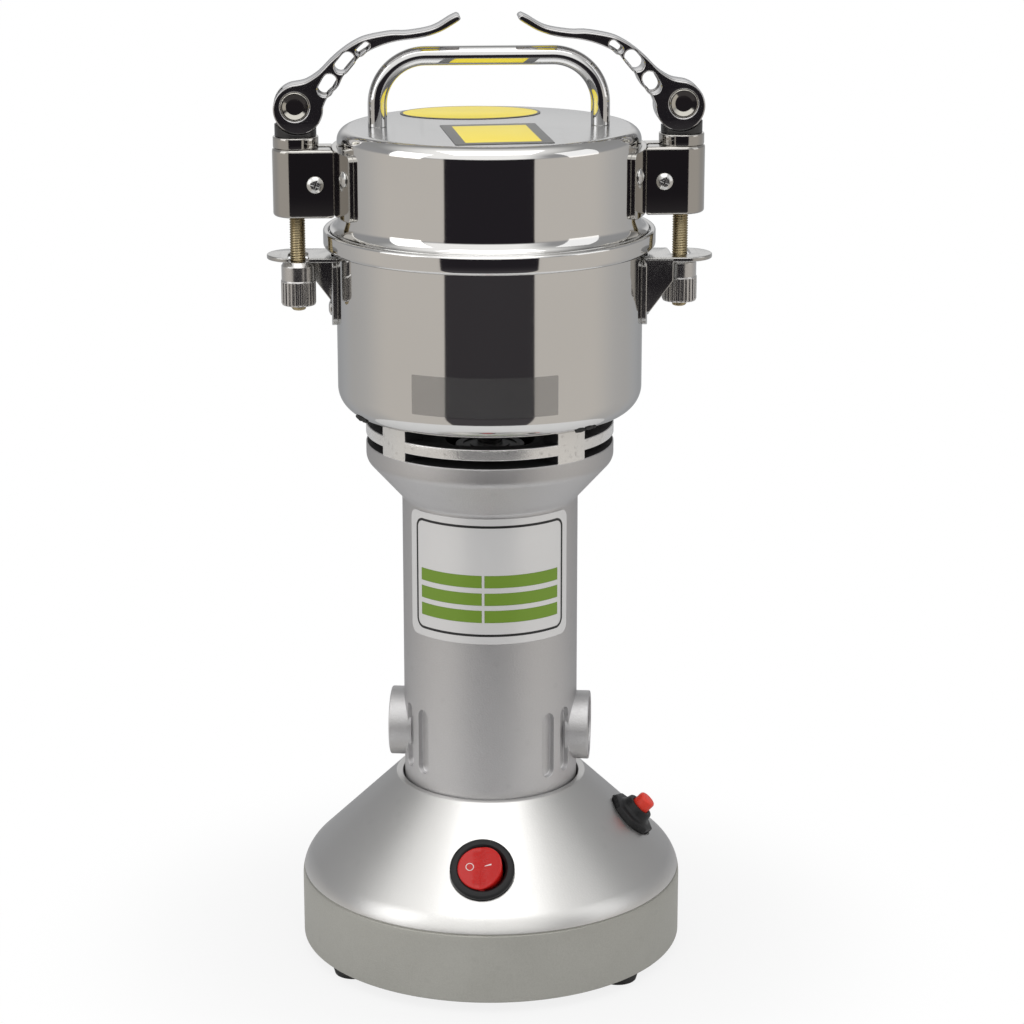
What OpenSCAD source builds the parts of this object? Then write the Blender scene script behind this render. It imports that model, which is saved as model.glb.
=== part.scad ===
// Electric grain mill: a round base, an upright motor housing, a grinding bowl and a clamped lid
// Origin at the floor under the feet, +Z up, front towards -Y, the two lid clamps along X

/* [Base] */
// Diameter of the base at its wall
base_d = 125; // [115:1:140]
// Height of the straight wall of the base
base_wall_h = 20; // [16:1:26]
// Radius of the shoulder between wall and cone
shoulder_r = 12; // [8:1:16]
// Slope of the cone from the horizontal, in degrees
cone_slope = 44; // [40:1:48]
// Wall of the base casting
base_t = 3; // [2.5:0.5:4]
// Width of the flat ring around the motor housing
top_ring_w = 2.2; // [1.5:0.1:3]
// Depth at which the motor housing stands inside the base
seat_depth = 8; // [6:0.5:10]
// Inner diameter of the ledge that carries the motor housing
ledge_d = 38; // [34:1:42]
// Thickness of the ledge
ledge_t = 4; // [3:0.5:5]
// Turn of the base against the lid clamps, in degrees
base_turn = -6; // [-10:1:10]
// Thickness of the bottom cover
cover_t = 2; // [1.5:0.5:3]

/* [Feet] */
// Height of the rubber feet
foot_h = 3.5; // [3:0.5:6]
// Diameter of a foot where it meets the base
foot_d = 14; // [12:0.5:15]
// Distance of the feet from the wall of the base
foot_inset = 8; // [7.5:0.5:10]
// Angle of each foot from the front or back, in degrees
foot_spread = 52; // [40:1:60]
// Diameter of the screws of the bottom cover
cover_screw_d = 3.9; // [3:0.1:4]

/* [Motor housing] */
// Outer diameter of the motor housing
tube_d = 56.5; // [54:0.5:60]
// Height from the seat to the start of the flare
tube_h = 102.7; // [96:0.5:110]
// Wall of the motor housing
tube_t = 3.2; // [3:0.1:4]
// Diameter of the head that carries the bowl
head_d = 79.2; // [76:0.2:84]
// Height of the plain wall of the head
head_wall_h = 6.7; // [5:0.1:8]
// Height of the lower air slot
low_vent_h = 2.6; // [2:0.1:4]
// Height of the ring between the air slots
vent_ring_h = 3.6; // [3:0.1:5]
// Height of the upper air slot
top_vent_h = 4; // [3:0.1:5]
// Width of the four posts of the head, in degrees
post_angle = 16; // [14:1:22]
// Radial depth of the posts
post_depth = 8.2; // [7.5:0.1:9]
// Radial depth of the ring between the air slots
vent_ring_depth = 5; // [4:0.1:6]
// Turn of the motor housing against the lid clamps, in degrees
housing_turn = -7.5; // [-12:0.5:12]
// Thickness of the web below the air slots
web_t = 5; // [4:0.5:6]

/* [Brushes] */
// Height of the brush axis above the seat
brush_z = 24.2; // [22:0.1:28]
// Outer diameter of the brush bosses
boss_d = 22.4; // [20:0.2:24]
// Reach of the brush bosses from the centre
boss_reach = 32.6; // [31:0.1:35]
// Diameter of the brush caps
brush_cap_d = 19; // [17:0.5:20]
// Width of a carbon brush
brush_w = 6.4; // [5:0.1:7]
// Height of a carbon brush
brush_h = 8; // [6:0.5:9]
// Length of a carbon brush
brush_l = 12; // [10:0.5:13]

/* [Motor] */
// Bore of the stator
stator_bore = 28; // [26:0.5:29]
// Length of the laminated cores
stack_h = 32; // [28:1:36]
// Height of the cores above the seat
stack_z = 54.4; // [52:0.1:58]
// Air gap between stator and armature
air_gap = 0.4; // [0.3:0.05:0.6]
// Reach of the windings past the cores
winding_h = 6; // [5:0.5:8]
// Diameter of the motor shaft
shaft_d = 8; // [7:0.5:9]
// Diameter of the commutator
commutator_d = 19; // [17:0.5:20]
// Length of the commutator
commutator_h = 16.5; // [14:0.5:18]
// Diameter of the cooling fan
fan_d = 44.6; // [40:0.2:45]
// Height of the cooling fan
fan_h = 9; // [7:0.5:10]
// Number of blades of the cooling fan
fan_blades = 10; // [8:1:12]

/* [Bowl] */
// Outer diameter of the grinding bowl
bowl_d = 96.6; // [92:0.2:100]
// Height of the bowl up to its brim
bowl_h = 57.1; // [50:0.1:62]
// Sheet thickness of bowl and lid
sheet_t = 1.2; // [1:0.1:1.5]
// Outer radius of the corner at the bottom of the bowl
bowl_corner_r = 8; // [6:0.5:10]
// Diameter of the brim of the bowl
brim_d = 104.4; // [102:0.2:108]
// Radius of the curve from the bowl wall into its brim
bowl_blend_r = 2.2; // [1.5:0.1:2.4]
// Height of the rolled bead around the brim
bead_h = 4.9; // [3:0.1:6]
// Rise of the bead above the brim
bead_rise = 1.3; // [0.8:0.1:2]

/* [Blades] */
// Tip to tip length of the lower blade
low_blade_l = 76; // [66:1:82]
// Tip to tip length of the upper blade
top_blade_l = 70; // [60:1:80]
// Width of the blades
blade_w = 13; // [11:0.5:15]
// Thickness of the blades
blade_t = 1.6; // [1.2:0.1:2]
// Distance between the two blades
blade_gap = 8; // [6:0.5:10]

/* [Lid] */
// Outer diameter of the lid wall
lid_d = 95; // [92:0.5:98]
// Height of the lid from its brim to its top
lid_h = 32.7; // [29:0.1:38]
// Outer radius of the edge around the lid top
lid_edge_r = 4; // [3:0.5:6]
// Radius of the curve from the lid wall into its brim
lid_blend_r = 2.4; // [1.5:0.1:2.5]
// Turn of the lid from clamped to free of the tabs, in degrees
lid_turn = 14; // [13:1:16]

/* [Handle] */
// Diameter of the handle rod
handle_d = 6; // [5:0.5:7]
// Distance between the two legs
handle_span = 69.4; // [60:0.2:74]
// Height of the handle above the lid
handle_h = 24.8; // [22:0.1:30]
// Radius of the bends on the centre line
handle_bend = 15; // [8:0.5:17]

/* [Clamps] */
// Distance of each clamp rod from the wall of the lid
clamp_gap = 12.7; // [11.5:0.1:14.5]
// Diameter of the clamp rods
rod_d = 5; // [4:0.1:5.2]
// Length of the rod below its nut
rod_tail = 1.8; // [0.5:0.1:4]
// Height of the lever pivot above the steel collar
pivot_rise = 9.585; // [9.5:0.005:10]
// Width of the clamp block
block_w = 14.8; // [14:0.1:16]
// Height of the clamp block
block_h = 21.4; // [19:0.1:24]
// Diameter of the steel collar on the block
collar_d = 14.2; // [13:0.1:15]
// Height of the steel collar
collar_h = 3.5; // [3:0.1:4]
// Diameter of the cradle under the cam
cradle_d = 13; // [12:0.1:14]
// Radius of the cam head of the lever
cam_r = 7.75; // [7.5:0.05:8.2]
// Offset of the cam head from its pin
cam_offset = 1.3; // [1:0.05:1.4]
// Direction of that offset when clamped, in degrees below the horizontal
cam_angle = 40; // [35:1:45]
// Swing of the levers from clamped to open, in degrees
lever_swing = 120; // [100:5:120]
// Width of the lever
lever_w = 10.5; // [10:0.1:12]
// Reach of the lever from its pin towards the centre
lever_reach = 51.7; // [48:0.1:54]
// Rise of the lever tip above its pin
lever_rise = 27.4; // [25:0.1:30]
// Diameter of the barrel pin in the lever
barrel_d = 8.8; // [8:0.1:9]
// Diameter of the knurled nut
nut_d = 11; // [10:0.1:12]
// Height of the knurled nut
nut_h = 14; // [13:0.1:15]
// Height of its knurled part
knurl_h = 7.9; // [6:0.1:9]

/* [Tabs] */
// Width of the tab that the nut pulls against
tab_w = 17.5; // [16:0.1:19]
// Reach of the tab past its clamp rod
tab_past = 9.9; // [9:0.1:12]
// Thickness of the tab sheet
tab_t = 1.4; // [1.2:0.1:1.6]
// Clear width of the slot for the rod
tab_slot_w = 6.2; // [6:0.1:7]
// Height of the riveted flange of the tab
tab_flange_h = 21.8; // [18:0.1:24]
// Turn of the tabs against the lid clamps, in degrees
tab_turn = -2.7; // [-3.5:0.1:-2]

/* [Switch and breaker] */
// Diameter of the switch bezel
bezel_d = 20.6; // [19:0.1:23]
// Opening in the bezel
rocker_hole_d = 15; // [14:0.1:16]
// Height of the bezel above the cone
bezel_h = 2; // [1.5:0.1:3]
// Distance of the switch along the cone from its top edge
switch_run = 23.6; // [21:0.1:26]
// Travel of the rocker from off to on, in degrees
rocker_travel = 24; // [18:1:28]
// Direction of the overload breaker from the front, in degrees
breaker_angle = 82; // [60:1:85]
// Distance of the breaker along the cone from its top edge
breaker_run = 21.5; // [18:0.5:25]
// Diameter of the breaker nut
breaker_nut_d = 17; // [15:0.5:19]
// Diameter of the reset button
reset_d = 6.6; // [6:0.1:7.5]
// Height of the reset button above its nut
reset_h = 3.6; // [3:0.1:4.5]

/* [Cord inlet] */
// Bore of the cord bush
cord_bore_d = 7.2; // [6:0.1:8]
// Height of the cord bush above the lower edge of the base
cord_bush_z = 12; // [11:0.5:14]

/* [Plates and stickers] */
// Width of the rating plate, in degrees around the housing
plate_angle = 120; // [90:1:130]
// Height of the rating plate
plate_h = 41.2; // [36:0.2:44]
// Height of the plate's lower edge above the seat
plate_z = 60.4; // [56:0.1:62]
// Direction of the plate's middle from the front, in degrees
plate_turn = -4; // [-8:0.5:8]
// Thickness of plates and stickers
sticker_t = 0.2; // [0.15:0.05:0.4]
// Width of the oval sticker on the lid
oval_w = 45; // [40:0.5:48]
// Depth of the oval sticker on the lid
oval_l = 29.5; // [26:0.5:32]
// Width of the square cornered sticker on the lid
card_w = 30; // [26:0.5:34]
// Length of the square cornered sticker on the lid
card_l = 41; // [34:0.5:42]
// Width of the clear film on the bowl, in degrees
film_angle = 55; // [45:1:62]
// Height of the clear film on the bowl
film_h = 12.4; // [10:0.1:14]

/* [Hidden] */
$fn = 96;

// How far cutters run past what they cut
overrun = 1;
// Clearance of turning and sliding fits
running = 0.05;
// Clearance of parts that are fastened to each other
fitted = 0.05;
// Clearance between separate pieces
apart = 0.3;
// Clearance of a screw in a through hole
screw_play = 0.2;
// Clearance of the carbon brushes in their holders
brush_play = 0.1;
// Gap between the base and the motor housing
neck_gap = 0.6;

// Radii of the main diameters
base_r = base_d / 2;
foot_r = base_r - foot_inset;
tube_r = tube_d / 2;
head_r = head_d / 2;
bowl_r = bowl_d / 2;
brim_r = brim_d / 2;
lid_r = lid_d / 2;
clamp_r = lid_r + clamp_gap;
shaft_r = shaft_d / 2;
rod_r = rod_d / 2;
barrel_r = barrel_d / 2;
handle_r = handle_d / 2;
neck_r = tube_r + neck_gap;
base_top_r = neck_r + top_ring_w;

// The cone of the base leaves the shoulder where both have the same slope
shoulder_c = base_r - shoulder_r;
cone_foot_r = shoulder_c + shoulder_r * sin(cone_slope);
cone_foot_z = base_wall_h + shoulder_r * cos(cone_slope);
base_h = cone_foot_z + (cone_foot_r - base_top_r) * tan(cone_slope);

// Heights above the floor
base_z = foot_h;
base_top_z = base_z + base_h;
seat_z = base_top_z - seat_depth;
flare_z = seat_z + tube_h;
head_z = flare_z + head_r - tube_r;
vent_z = head_z + head_wall_h;
vent_ring_z = vent_z + low_vent_h;
vent_ring_top_z = vent_ring_z + vent_ring_h;
bowl_z = vent_ring_top_z + top_vent_h;
brim_z = bowl_z + bowl_h;
lid_z = brim_z + apart;
lid_top_z = lid_z + lid_h;

// Base
crease_rise = 2.9;
crease_w = 0.5;
crease_depth = 0.4;
crease_r = shoulder_c + sqrt(shoulder_r * shoulder_r - crease_rise * crease_rise) - crease_depth;
collar_wall = 4;
foot_boss_r = 5.5;
foot_boss_h = 16;
cover_r = base_r - base_t - apart;
cover_slots = 16;
cover_slot_w = 3;
cover_slot_l = 14;
cover_slot_place = 26;
foot_draft = 1;
foot_bore_r = 4;
foot_floor = 1.3;
cover_screw_r = cover_screw_d / 2;
cover_screw_l = 12;
cover_head_r = 3.5;
cover_head_h = 1.5;
housing_screw_r = 1.6;
housing_screw_place = 23;
housing_head_r = 2.8;
housing_head_h = 2;

// Motor housing
tube_in_r = tube_r - tube_t;
step_w = 1.6;
step_r = tube_in_r - step_w;
head_t = 3;
head_edge_r = 3;
stack_low_z = seat_z + stack_z;
stack_top_z = stack_low_z + stack_h;
windows = 8;
window_w = 9;
window_in = 22;
window_out = 30.5;
posts = 4;
post_first = 45;
bearing_r = 11;
bearing_h = 7;
bearing_wall = 3.4;
hub_drop = 4;
hub_z = vent_z - web_t - hub_drop;
hub_lip_w = 2;
hub_lip_r = bearing_r - hub_lip_w;
upper_bearing_z = hub_z + apart;
lug_r = 2.9;
lug_h = 8;
lug_place = 22.7;
long_screw_r = 1.5;
long_head_r = 2.2;
long_head_h = 2;
bridge_t = 5;
slot_angles = [-44, -27, 27, 44];
slot_w = 4.4;
slot_h = 21.5;
slot_rise = 13;
slot_depth = 1.6;
cap_t = 2;
cap_sink = 0.7;
cap_pocket = cap_t + cap_sink;
cap_play = 0.1;
cap_r = brush_cap_d / 2;
cap_slot_w = 1.6;
cap_slot_depth = 1;
cap_slot_share = 0.75;
cap_z = boss_reach - cap_pocket;
sleeve_r = 8.2;
sleeve_start = 12.6;
brush_gap = 0.1;
brush_start = commutator_d / 2 + brush_gap;
spring_r = 2.8;
spring_wall = 0.8;
plate_corner = 3;

// Motor
yoke_w = 4.5;
yoke_r = tube_in_r - fitted - yoke_w;
pole_w = 16;
shoe_t = 2.6;
shoe_angle = 58;
coil_angle = 52;
coil_play = 0.1;
coil_h = 6;
armature_r = stator_bore / 2 - air_gap;
armature_slots = 12;
armature_slot_w = 3.4;
armature_slot_depth = 5.5;
winding_in = 1.2;
bars = 24;
bar_gap = 0.4;
bar_depth = 0.8;
commutator_z = seat_z + brush_z - commutator_h / 2;
journal_r = 3.5;
lower_bearing_r = 9.5;
lower_bearing_h = 6;
bridge_floor = 4;
bridge_h = 12;
shaft_lift = 1;
bridge_wall = 3;
bridge_bore_r = 5;
bridge_window_r = 3;
bridge_window_place = 17.5;
groove_w = 2.4;
groove_depth = 0.4;
fan_lift = 3;
fan_z = stack_top_z + winding_h + fan_lift;
fan_r = fan_d / 2;
fan_hub_r = 7;
fan_disc_t = 1.4;
fan_vane_t = 1.4;
fan_lean = 20;
fan_vane_share = 0.7;

// Bowl, its seal and the blades
floor_z = bowl_z + sheet_t;
bowl_hole_r = 7;
bead_w = 1.8;
lid_brim_r = brim_r - bead_w - apart;
bowl_screw_r = 1.9;
bowl_screw_l = 7;
bowl_head_r = 3.6;
bowl_head_h = 2.4;
bowl_screw_place = head_r - post_depth / 2;
seal_flange_r = 10;
seal_flange_t = 1.2;
seal_foot_r = 9.4;
seal_foot_t = 3;
spacer_low_r = 5.5;
spacer_low_h = 2;
spacer_r = 6;
low_blade_z = floor_z + seal_flange_t + 2 * apart + spacer_low_h;
top_blade_z = low_blade_z + blade_t + blade_gap;
blade_nut_z = top_blade_z + blade_t;
blade_nut_r = 6;
blade_nut_h = 5;
blade_nut_sides = 6;
shaft_stub = 1;
blade_hub_r = 9;
blade_tip_l = 22;
tip_share = 0.1;
low_bend = 8;
top_bend = 25;
blade_washer_t = 1;

// Lid, its seal and handle
lid_seal_w = 3.2;
lid_seal_h = 1.4;
lid_seal_low = 0.6;
seal_gap = 0.35;
leg_h = handle_h - handle_r - handle_bend;
leg_screw_r = 1.6;
leg_screw_l = 8;
leg_head_r = 3.2;
leg_head_h = 2;
bracket_angle = 27;
bracket_t = 1.5;
bracket_h = 20.5;
bracket_rise = 6.2;
bracket_in_r = lid_r + fitted;
bracket_out_r = bracket_in_r + bracket_t;
tongue_t = 3;
tongue_gap = 0.5;
tongue_reach = clamp_r - rod_r - tongue_gap;
tongue_h = 13;
tongue_rise = 3;
rivet_r = 1.6;
rivet_head_r = 2.6;
rivet_head_h = 1;
bracket_rivet_angle = 22;
bracket_rivet_rise = 13;

// Clamps
block_r = block_w / 2;
block_rise = 5.2;
block_z = lid_z + block_rise;
block_top_z = block_z + block_h;
block_screw_back = 5.9;
block_screw_x = clamp_r - block_screw_back;
block_screw_rise = 10.6;
block_screw_z = block_z + block_screw_rise;
block_screw_r = 1.5;
block_head_r = 2.65;
block_head_h = 1.2;
rod_play = 0.08;
cam_seat = 0.05;
cradle_extra = 2;
cradle_h = 3.9;
cradle_z = block_top_z + collar_h;
pivot_z = cradle_z + pivot_rise;
cam_x = clamp_r - cam_offset * cos(cam_angle);
cam_low_z = pivot_z - cam_offset * sin(cam_angle) - cam_r;
barrel_hole_top = 1.6;
lever_slot = rod_d + 2 * apart;
cam_reach = 2 * cam_r;
// Edges of the lever arm as shares of its reach and rise
arm_top_shares = [
    [0.01, 0.25], [0.07, 0.28], [0.145, 0.37], [0.22, 0.51], [0.29, 0.62], [0.365, 0.71],
    [0.44, 0.765], [0.575, 0.81], [0.68, 0.815], [0.825, 0.865], [0.93, 0.975], [0.97, 1.01]
];
arm_low_shares = [
    [0.99, 0.96], [0.94, 0.895], [0.865, 0.82], [0.755, 0.76], [0.615, 0.725], [0.51, 0.67],
    [0.415, 0.585], [0.37, 0.51], [0.295, 0.345], [0.26, 0.22], [0.2, 0.11], [0.15, 0]
];
// Middle of each hole as shares of reach and rise, its tilt,
// and its length and width as shares of the lever width
hole_shares = [
    [0.195, 0.24, 60, 0.8, 0.51],
    [0.3, 0.49, 50, 0.7, 0.4],
    [0.41, 0.645, 42, 0.57, 0.32]
];

// Tabs
tab_drop = 7.2;
tab_z = brim_z - tab_drop - tab_t;
tab_r = tab_w / 2;
tab_end_x = clamp_r + tab_past - tab_r;
flange_t = 1.5;
flange_in_r = bowl_r + fitted;
flange_out_r = flange_in_r + flange_t;
flange_angle = 20.8;
tab_slot_past = 2.5;
tab_slot_free = 6;
tab_slot_turn = lid_turn + tab_slot_free + tab_slot_past;
gusset_t = 1.4;
gusset_root = 48.6;
gusset_reach = 57.5;
gusset_drop = 6;
gusset_root_drop = 16;
tab_rivet_rise = 4.5;

// Nuts and rods
nut_top_z = tab_z - apart;
nut_z = nut_top_z - nut_h;
rod_low_z = nut_z - rod_tail;
nut_r = nut_d / 2;
nut_neck_r = 5.3;
nut_tip_r = 4.2;
nut_tip_h = 1.4;
knurls = 24;
knurl_r = 0.5;
knurl_rim = 0.4;

// Switch and breaker
spot_sink = 0.8;
spot_play = 0.2;
bezel_r = bezel_d / 2;
bezel_edge = 0.9;
rocker_hole_r = rocker_hole_d / 2;
rocker_play = 0.2;
rocker_r = rocker_hole_r - rocker_play;
rocker_pivot = -0.4;
rocker_face = 2.2;
rocker_low = 4.4;
rocker_stub_r = 1.2;
rocker_stub_l = 8.4;
switch_r = 8.9;
switch_h = 14;
switch_floor = 1.5;
terminal_w = 4.8;
terminal_t = 0.8;
terminal_h = 6;
terminal_gap = 7;
breaker_neck_r = 4.8;
breaker_collar_r = 5.75;
breaker_collar_h = 2.5;
breaker_nut_h = 2;
breaker_nut_r = breaker_nut_d / 2;
breaker_sag = 0.6;
breaker_top_z = breaker_nut_h + breaker_collar_h - spot_sink;
breaker_w = 17;
breaker_t = 12;
breaker_h = 28;
reset_r = reset_d / 2;
reset_tail = 6;
reset_travel = 2;
reset_edge = 0.6;

// Cord inlet
bush_r = 7.5;
bush_t = 1.4;
bush_neck_r = 5.5;
bush_bead_r = 6.4;
bush_bead_t = 1.8;
bush_sink = 0.45;
bush_seat = bush_sink + bush_t;
bush_lip = 0.4;

// Screw heads
cross_w = 0.8;
cross_depth = 0.6;
cross_share = 0.7;

// Stickers
card_x = 1.3;
card_y = -18.5;
card_tilt = 4.9;
oval_x = -4.7;
oval_y = 28.3;
film_rise = 8.1;
film_turn = -4.65;

// A tube of one wall
module ring(r, in_r, h) {
    difference() {
        cylinder(r = r, h = h);
        translate([0, 0, -overrun])
            cylinder(r = in_r, h = h + 2 * overrun);
    }
}

// Part of a ring with square section, centred on the front
module arc_plate(r, in_r, h, angle) {
    rotate([0, 0, -90 - angle / 2])
        rotate_extrude(angle = angle)
            translate([in_r, 0])
                square([r - in_r, h]);
}

// Flat bar with round ends along X
module round_bar(length, width, h) {
    for (side = [-1, 1])
        translate([side * (length - width) / 2, 0, 0])
            cylinder(d = width, h = h);
    translate([-(length - width) / 2, -width / 2, 0])
        cube([length - width, width, h]);
}

// Card with round corners, centred on the origin
module round_card(width, height, corner) {
    square([width - 2 * corner, height], center = true);
    square([width, height - 2 * corner], center = true);
    for (x = [-1, 1], y = [-1, 1])
        translate([x * (width / 2 - corner), y * (height / 2 - corner)])
            circle(r = corner);
}

// Wedge of the plane along +X with half the angle on each side
module wedge(reach, half_angle) {
    polygon([[0, 0], [reach, -reach * tan(half_angle)], [reach, reach * tan(half_angle)]]);
}

// Sheet that curves from a wall with its outer face at x = 0 into a flat brim on y = 0
module flare(r, reach) {
    intersection() {
        translate([-sheet_t, 0])
            square(r + sheet_t);
        translate([r, r + sheet_t])
            difference() {
                circle(r = r + sheet_t);
                circle(r = r);
            }
    }
    translate([r, 0])
        square([reach - r, sheet_t]);
}

// Screw with its head downwards and its shank from z = 0 upwards
module screw(shank_r, length, cap_r, cap_h) {
    cylinder(r = shank_r, h = length);
    translate([0, 0, -cap_h])
        difference() {
            cylinder(r = cap_r, h = cap_h);
            for (angle = [0, 90])
                rotate([0, 0, angle])
                    translate([-cap_r * cross_share, -cross_w / 2, -overrun])
                        cube([2 * cap_r * cross_share, cross_w, cross_depth + overrun]);
        }
}

// Turns things with the base
module in_base() {
    rotate([0, 0, base_turn])
        children();
}

// Turns things with the motor housing
module in_housing() {
    rotate([0, 0, housing_turn])
        children();
}

// Puts things on the cone of the base with +Z along its normal and +Y up its slope
module on_cone(angle, run) {
    rotate([0, 0, angle])
        translate([0, -base_top_r - run * cos(cone_slope), base_top_z - run * sin(cone_slope)])
            rotate([cone_slope, 0, 0])
                children();
}

module at_switch() {
    on_cone(base_turn, switch_run)
        children();
}

module at_breaker() {
    on_cone(breaker_angle, breaker_run)
        children();
}

// Puts things on the rear wall of the base with +Z outwards
module at_cord() {
    rotate([0, 0, 180 + base_turn])
        translate([0, -base_r, base_z + cord_bush_z])
            rotate([90, 0, 0])
                children();
}

module at_feet() {
    in_base()
        for (angle = [-foot_spread, foot_spread, 180 - foot_spread, 180 + foot_spread])
            rotate([0, 0, angle])
                translate([0, -foot_r, 0])
                    children();
}

// Puts things at the four corners of the motor housing
module at_corners(place) {
    in_housing()
        for (i = [0:posts - 1])
            rotate([0, 0, post_first + i * 360 / posts])
                translate([0, -place, 0])
                    children();
}

// Puts things on the two brush axes with +Z outwards
module at_brushes() {
    in_housing()
        for (angle = [90, 270])
            rotate([0, 0, angle])
                translate([0, 0, seat_z + brush_z])
                    rotate([90, 0, 0])
                        children();
}

module at_long_screws() {
    in_housing()
        for (angle = [0, 180])
            rotate([0, 0, angle])
                translate([0, -lug_place, 0])
                    children();
}

// The left clamp is the right one turned by half a turn
module left_side() {
    rotate([0, 0, 180])
        children();
}

module both_sides() {
    children();
    left_side()
        children();
}

// Section of the base, moved inwards by `inset`
module base_section(inset) {
    square([base_r - inset, base_wall_h]);
    translate([shoulder_c, base_wall_h])
        circle(r = shoulder_r - inset);
    polygon([
        [0, base_wall_h],
        [shoulder_c, base_wall_h],
        [cone_foot_r - inset * sin(cone_slope), cone_foot_z - inset * cos(cone_slope)],
        [base_top_r, base_h - inset / cos(cone_slope)],
        [0, base_h - inset / cos(cone_slope)]
    ]);
}

// Section of the base casting with its collar and ledge for the motor housing
module base_shell_section() {
    difference() {
        base_section(0);
        difference() {
            union() {
                base_section(base_t);
                translate([0, -overrun])
                    square([base_r - base_t, 2 * overrun]);
            }
            translate([0, base_h - seat_depth - ledge_t])
                square([neck_r + collar_wall, base_h]);
        }
        translate([0, base_h - seat_depth])
            square([neck_r, base_h]);
        square([ledge_d / 2, base_h]);
    }
}

module base_shell() {
    color("silver") difference() {
        union() {
            translate([0, 0, base_z])
                rotate_extrude()
                    base_shell_section();
            at_feet()
                translate([0, 0, base_z + cover_t])
                    cylinder(r = foot_boss_r, h = foot_boss_h);
        }
        // Crease between wall and shoulder
        translate([0, 0, base_z + base_wall_h + crease_rise - crease_w / 2])
            ring(base_r + overrun, crease_r, crease_w);
        at_feet()
            cylinder(r = cover_screw_r + fitted, h = foot_h + cover_screw_l);
        at_corners(housing_screw_place)
            cylinder(r = housing_screw_r + screw_play, h = base_h + base_z);
        // Flat seats and holes of switch, breaker and cord bush
        at_switch() {
            translate([0, 0, -spot_sink])
                cylinder(r = bezel_r + spot_play, h = 2 * base_t);
            translate([0, 0, -switch_h])
                cylinder(r = switch_r + running, h = 2 * switch_h);
        }
        at_breaker() {
            translate([0, 0, -spot_sink])
                cylinder(r = breaker_nut_r + spot_play, h = 2 * base_t);
            translate([0, 0, -switch_h])
                cylinder(r = breaker_neck_r + running, h = 2 * switch_h);
        }
        at_cord() {
            translate([0, 0, -bush_seat])
                cylinder(r = bush_r + spot_play, h = bush_seat + overrun);
            translate([0, 0, -2 * base_t])
                cylinder(r = bush_neck_r + running, h = 3 * base_t);
        }
    }
}

module base_cover() {
    color("dimgray") difference() {
        translate([0, 0, base_z])
            cylinder(r = cover_r, h = cover_t);
        for (i = [0:cover_slots - 1])
            rotate([0, 0, i * 360 / cover_slots])
                translate([cover_slot_place, 0, base_z - overrun])
                    round_bar(cover_slot_l, cover_slot_w, cover_t + 2 * overrun);
        at_feet()
            cylinder(r = cover_screw_r + screw_play, h = base_h);
    }
}

module rubber_feet() {
    color("black") at_feet() difference() {
        cylinder(d1 = foot_d - 2 * foot_draft, d2 = foot_d, h = foot_h);
        translate([0, 0, -overrun])
            cylinder(r = foot_bore_r, h = foot_h - foot_floor + overrun);
        cylinder(r = cover_screw_r + screw_play, h = foot_h + overrun);
    }
}

module cover_screws() {
    color("gray") at_feet()
        translate([0, 0, foot_h - foot_floor])
            screw(cover_screw_r, cover_screw_l, cover_head_r, cover_head_h);
}

module cord_bush() {
    color("black") at_cord() difference() {
        union() {
            translate([0, 0, -bush_seat])
                cylinder(r = bush_r, h = bush_t);
            translate([0, 0, -base_t - bush_lip - bush_bead_t])
                cylinder(r = bush_neck_r, h = base_t + bush_lip + bush_bead_t - bush_sink);
            translate([0, 0, -base_t - bush_lip - bush_bead_t])
                cylinder(r = bush_bead_r, h = bush_bead_t);
        }
        translate([0, 0, -3 * base_t])
            cylinder(d = cord_bore_d, h = 4 * base_t);
    }
}

module switch_housing() {
    color("black") at_switch() difference() {
        union() {
            translate([0, 0, -spot_sink])
                cylinder(r = bezel_r, h = spot_sink + bezel_h - bezel_edge);
            rotate_extrude() {
                square([bezel_r - bezel_edge, bezel_h]);
                translate([bezel_r - bezel_edge, bezel_h - bezel_edge])
                    circle(r = bezel_edge);
            }
            translate([0, 0, -switch_h])
                cylinder(r = switch_r, h = switch_h);
            for (side = [-1, 1])
                translate([(side * terminal_gap - terminal_t) / 2, -terminal_w / 2, -switch_h - terminal_h])
                    cube([terminal_t, terminal_w, terminal_h + switch_floor]);
        }
        translate([0, 0, switch_floor - switch_h])
            cylinder(r = rocker_hole_r, h = 2 * switch_h);
        translate([0, switch_h, rocker_pivot])
            rotate([90, 0, 0])
                cylinder(r = rocker_stub_r + running, h = 2 * switch_h);
    }
}

// The rocker has a hollow face and rests with its left half pressed
module switch_rocker() {
    color("red") at_switch()
        translate([0, 0, rocker_pivot])
            rotate([0, -rocker_travel / 2, 0]) {
                difference() {
                    sphere(r = rocker_r);
                    for (side = [-1, 1])
                        translate([0, 0, rocker_face])
                            rotate([0, -side * rocker_travel / 2, 0])
                                translate([(side - 1) * rocker_r, -rocker_r, 0])
                                    cube(2 * rocker_r);
                    translate([-rocker_r, -rocker_r, -rocker_low - 2 * rocker_r])
                        cube(2 * rocker_r);
                }
                translate([0, rocker_stub_l, 0])
                    rotate([90, 0, 0])
                        cylinder(r = rocker_stub_r, h = 2 * rocker_stub_l);
            }
}

module breaker_body() {
    color("black") at_breaker() difference() {
        union() {
            translate([0, 0, -base_t - breaker_sag])
                cylinder(r = breaker_neck_r, h = base_t + breaker_sag + breaker_top_z - apart);
            translate([-breaker_w / 2, -breaker_t / 2, -base_t - breaker_sag - breaker_h])
                cube([breaker_w, breaker_t, breaker_h]);
        }
        translate([0, 0, -reset_tail - reset_travel - apart])
            cylinder(r = reset_r + running, h = breaker_h);
    }
}

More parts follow.
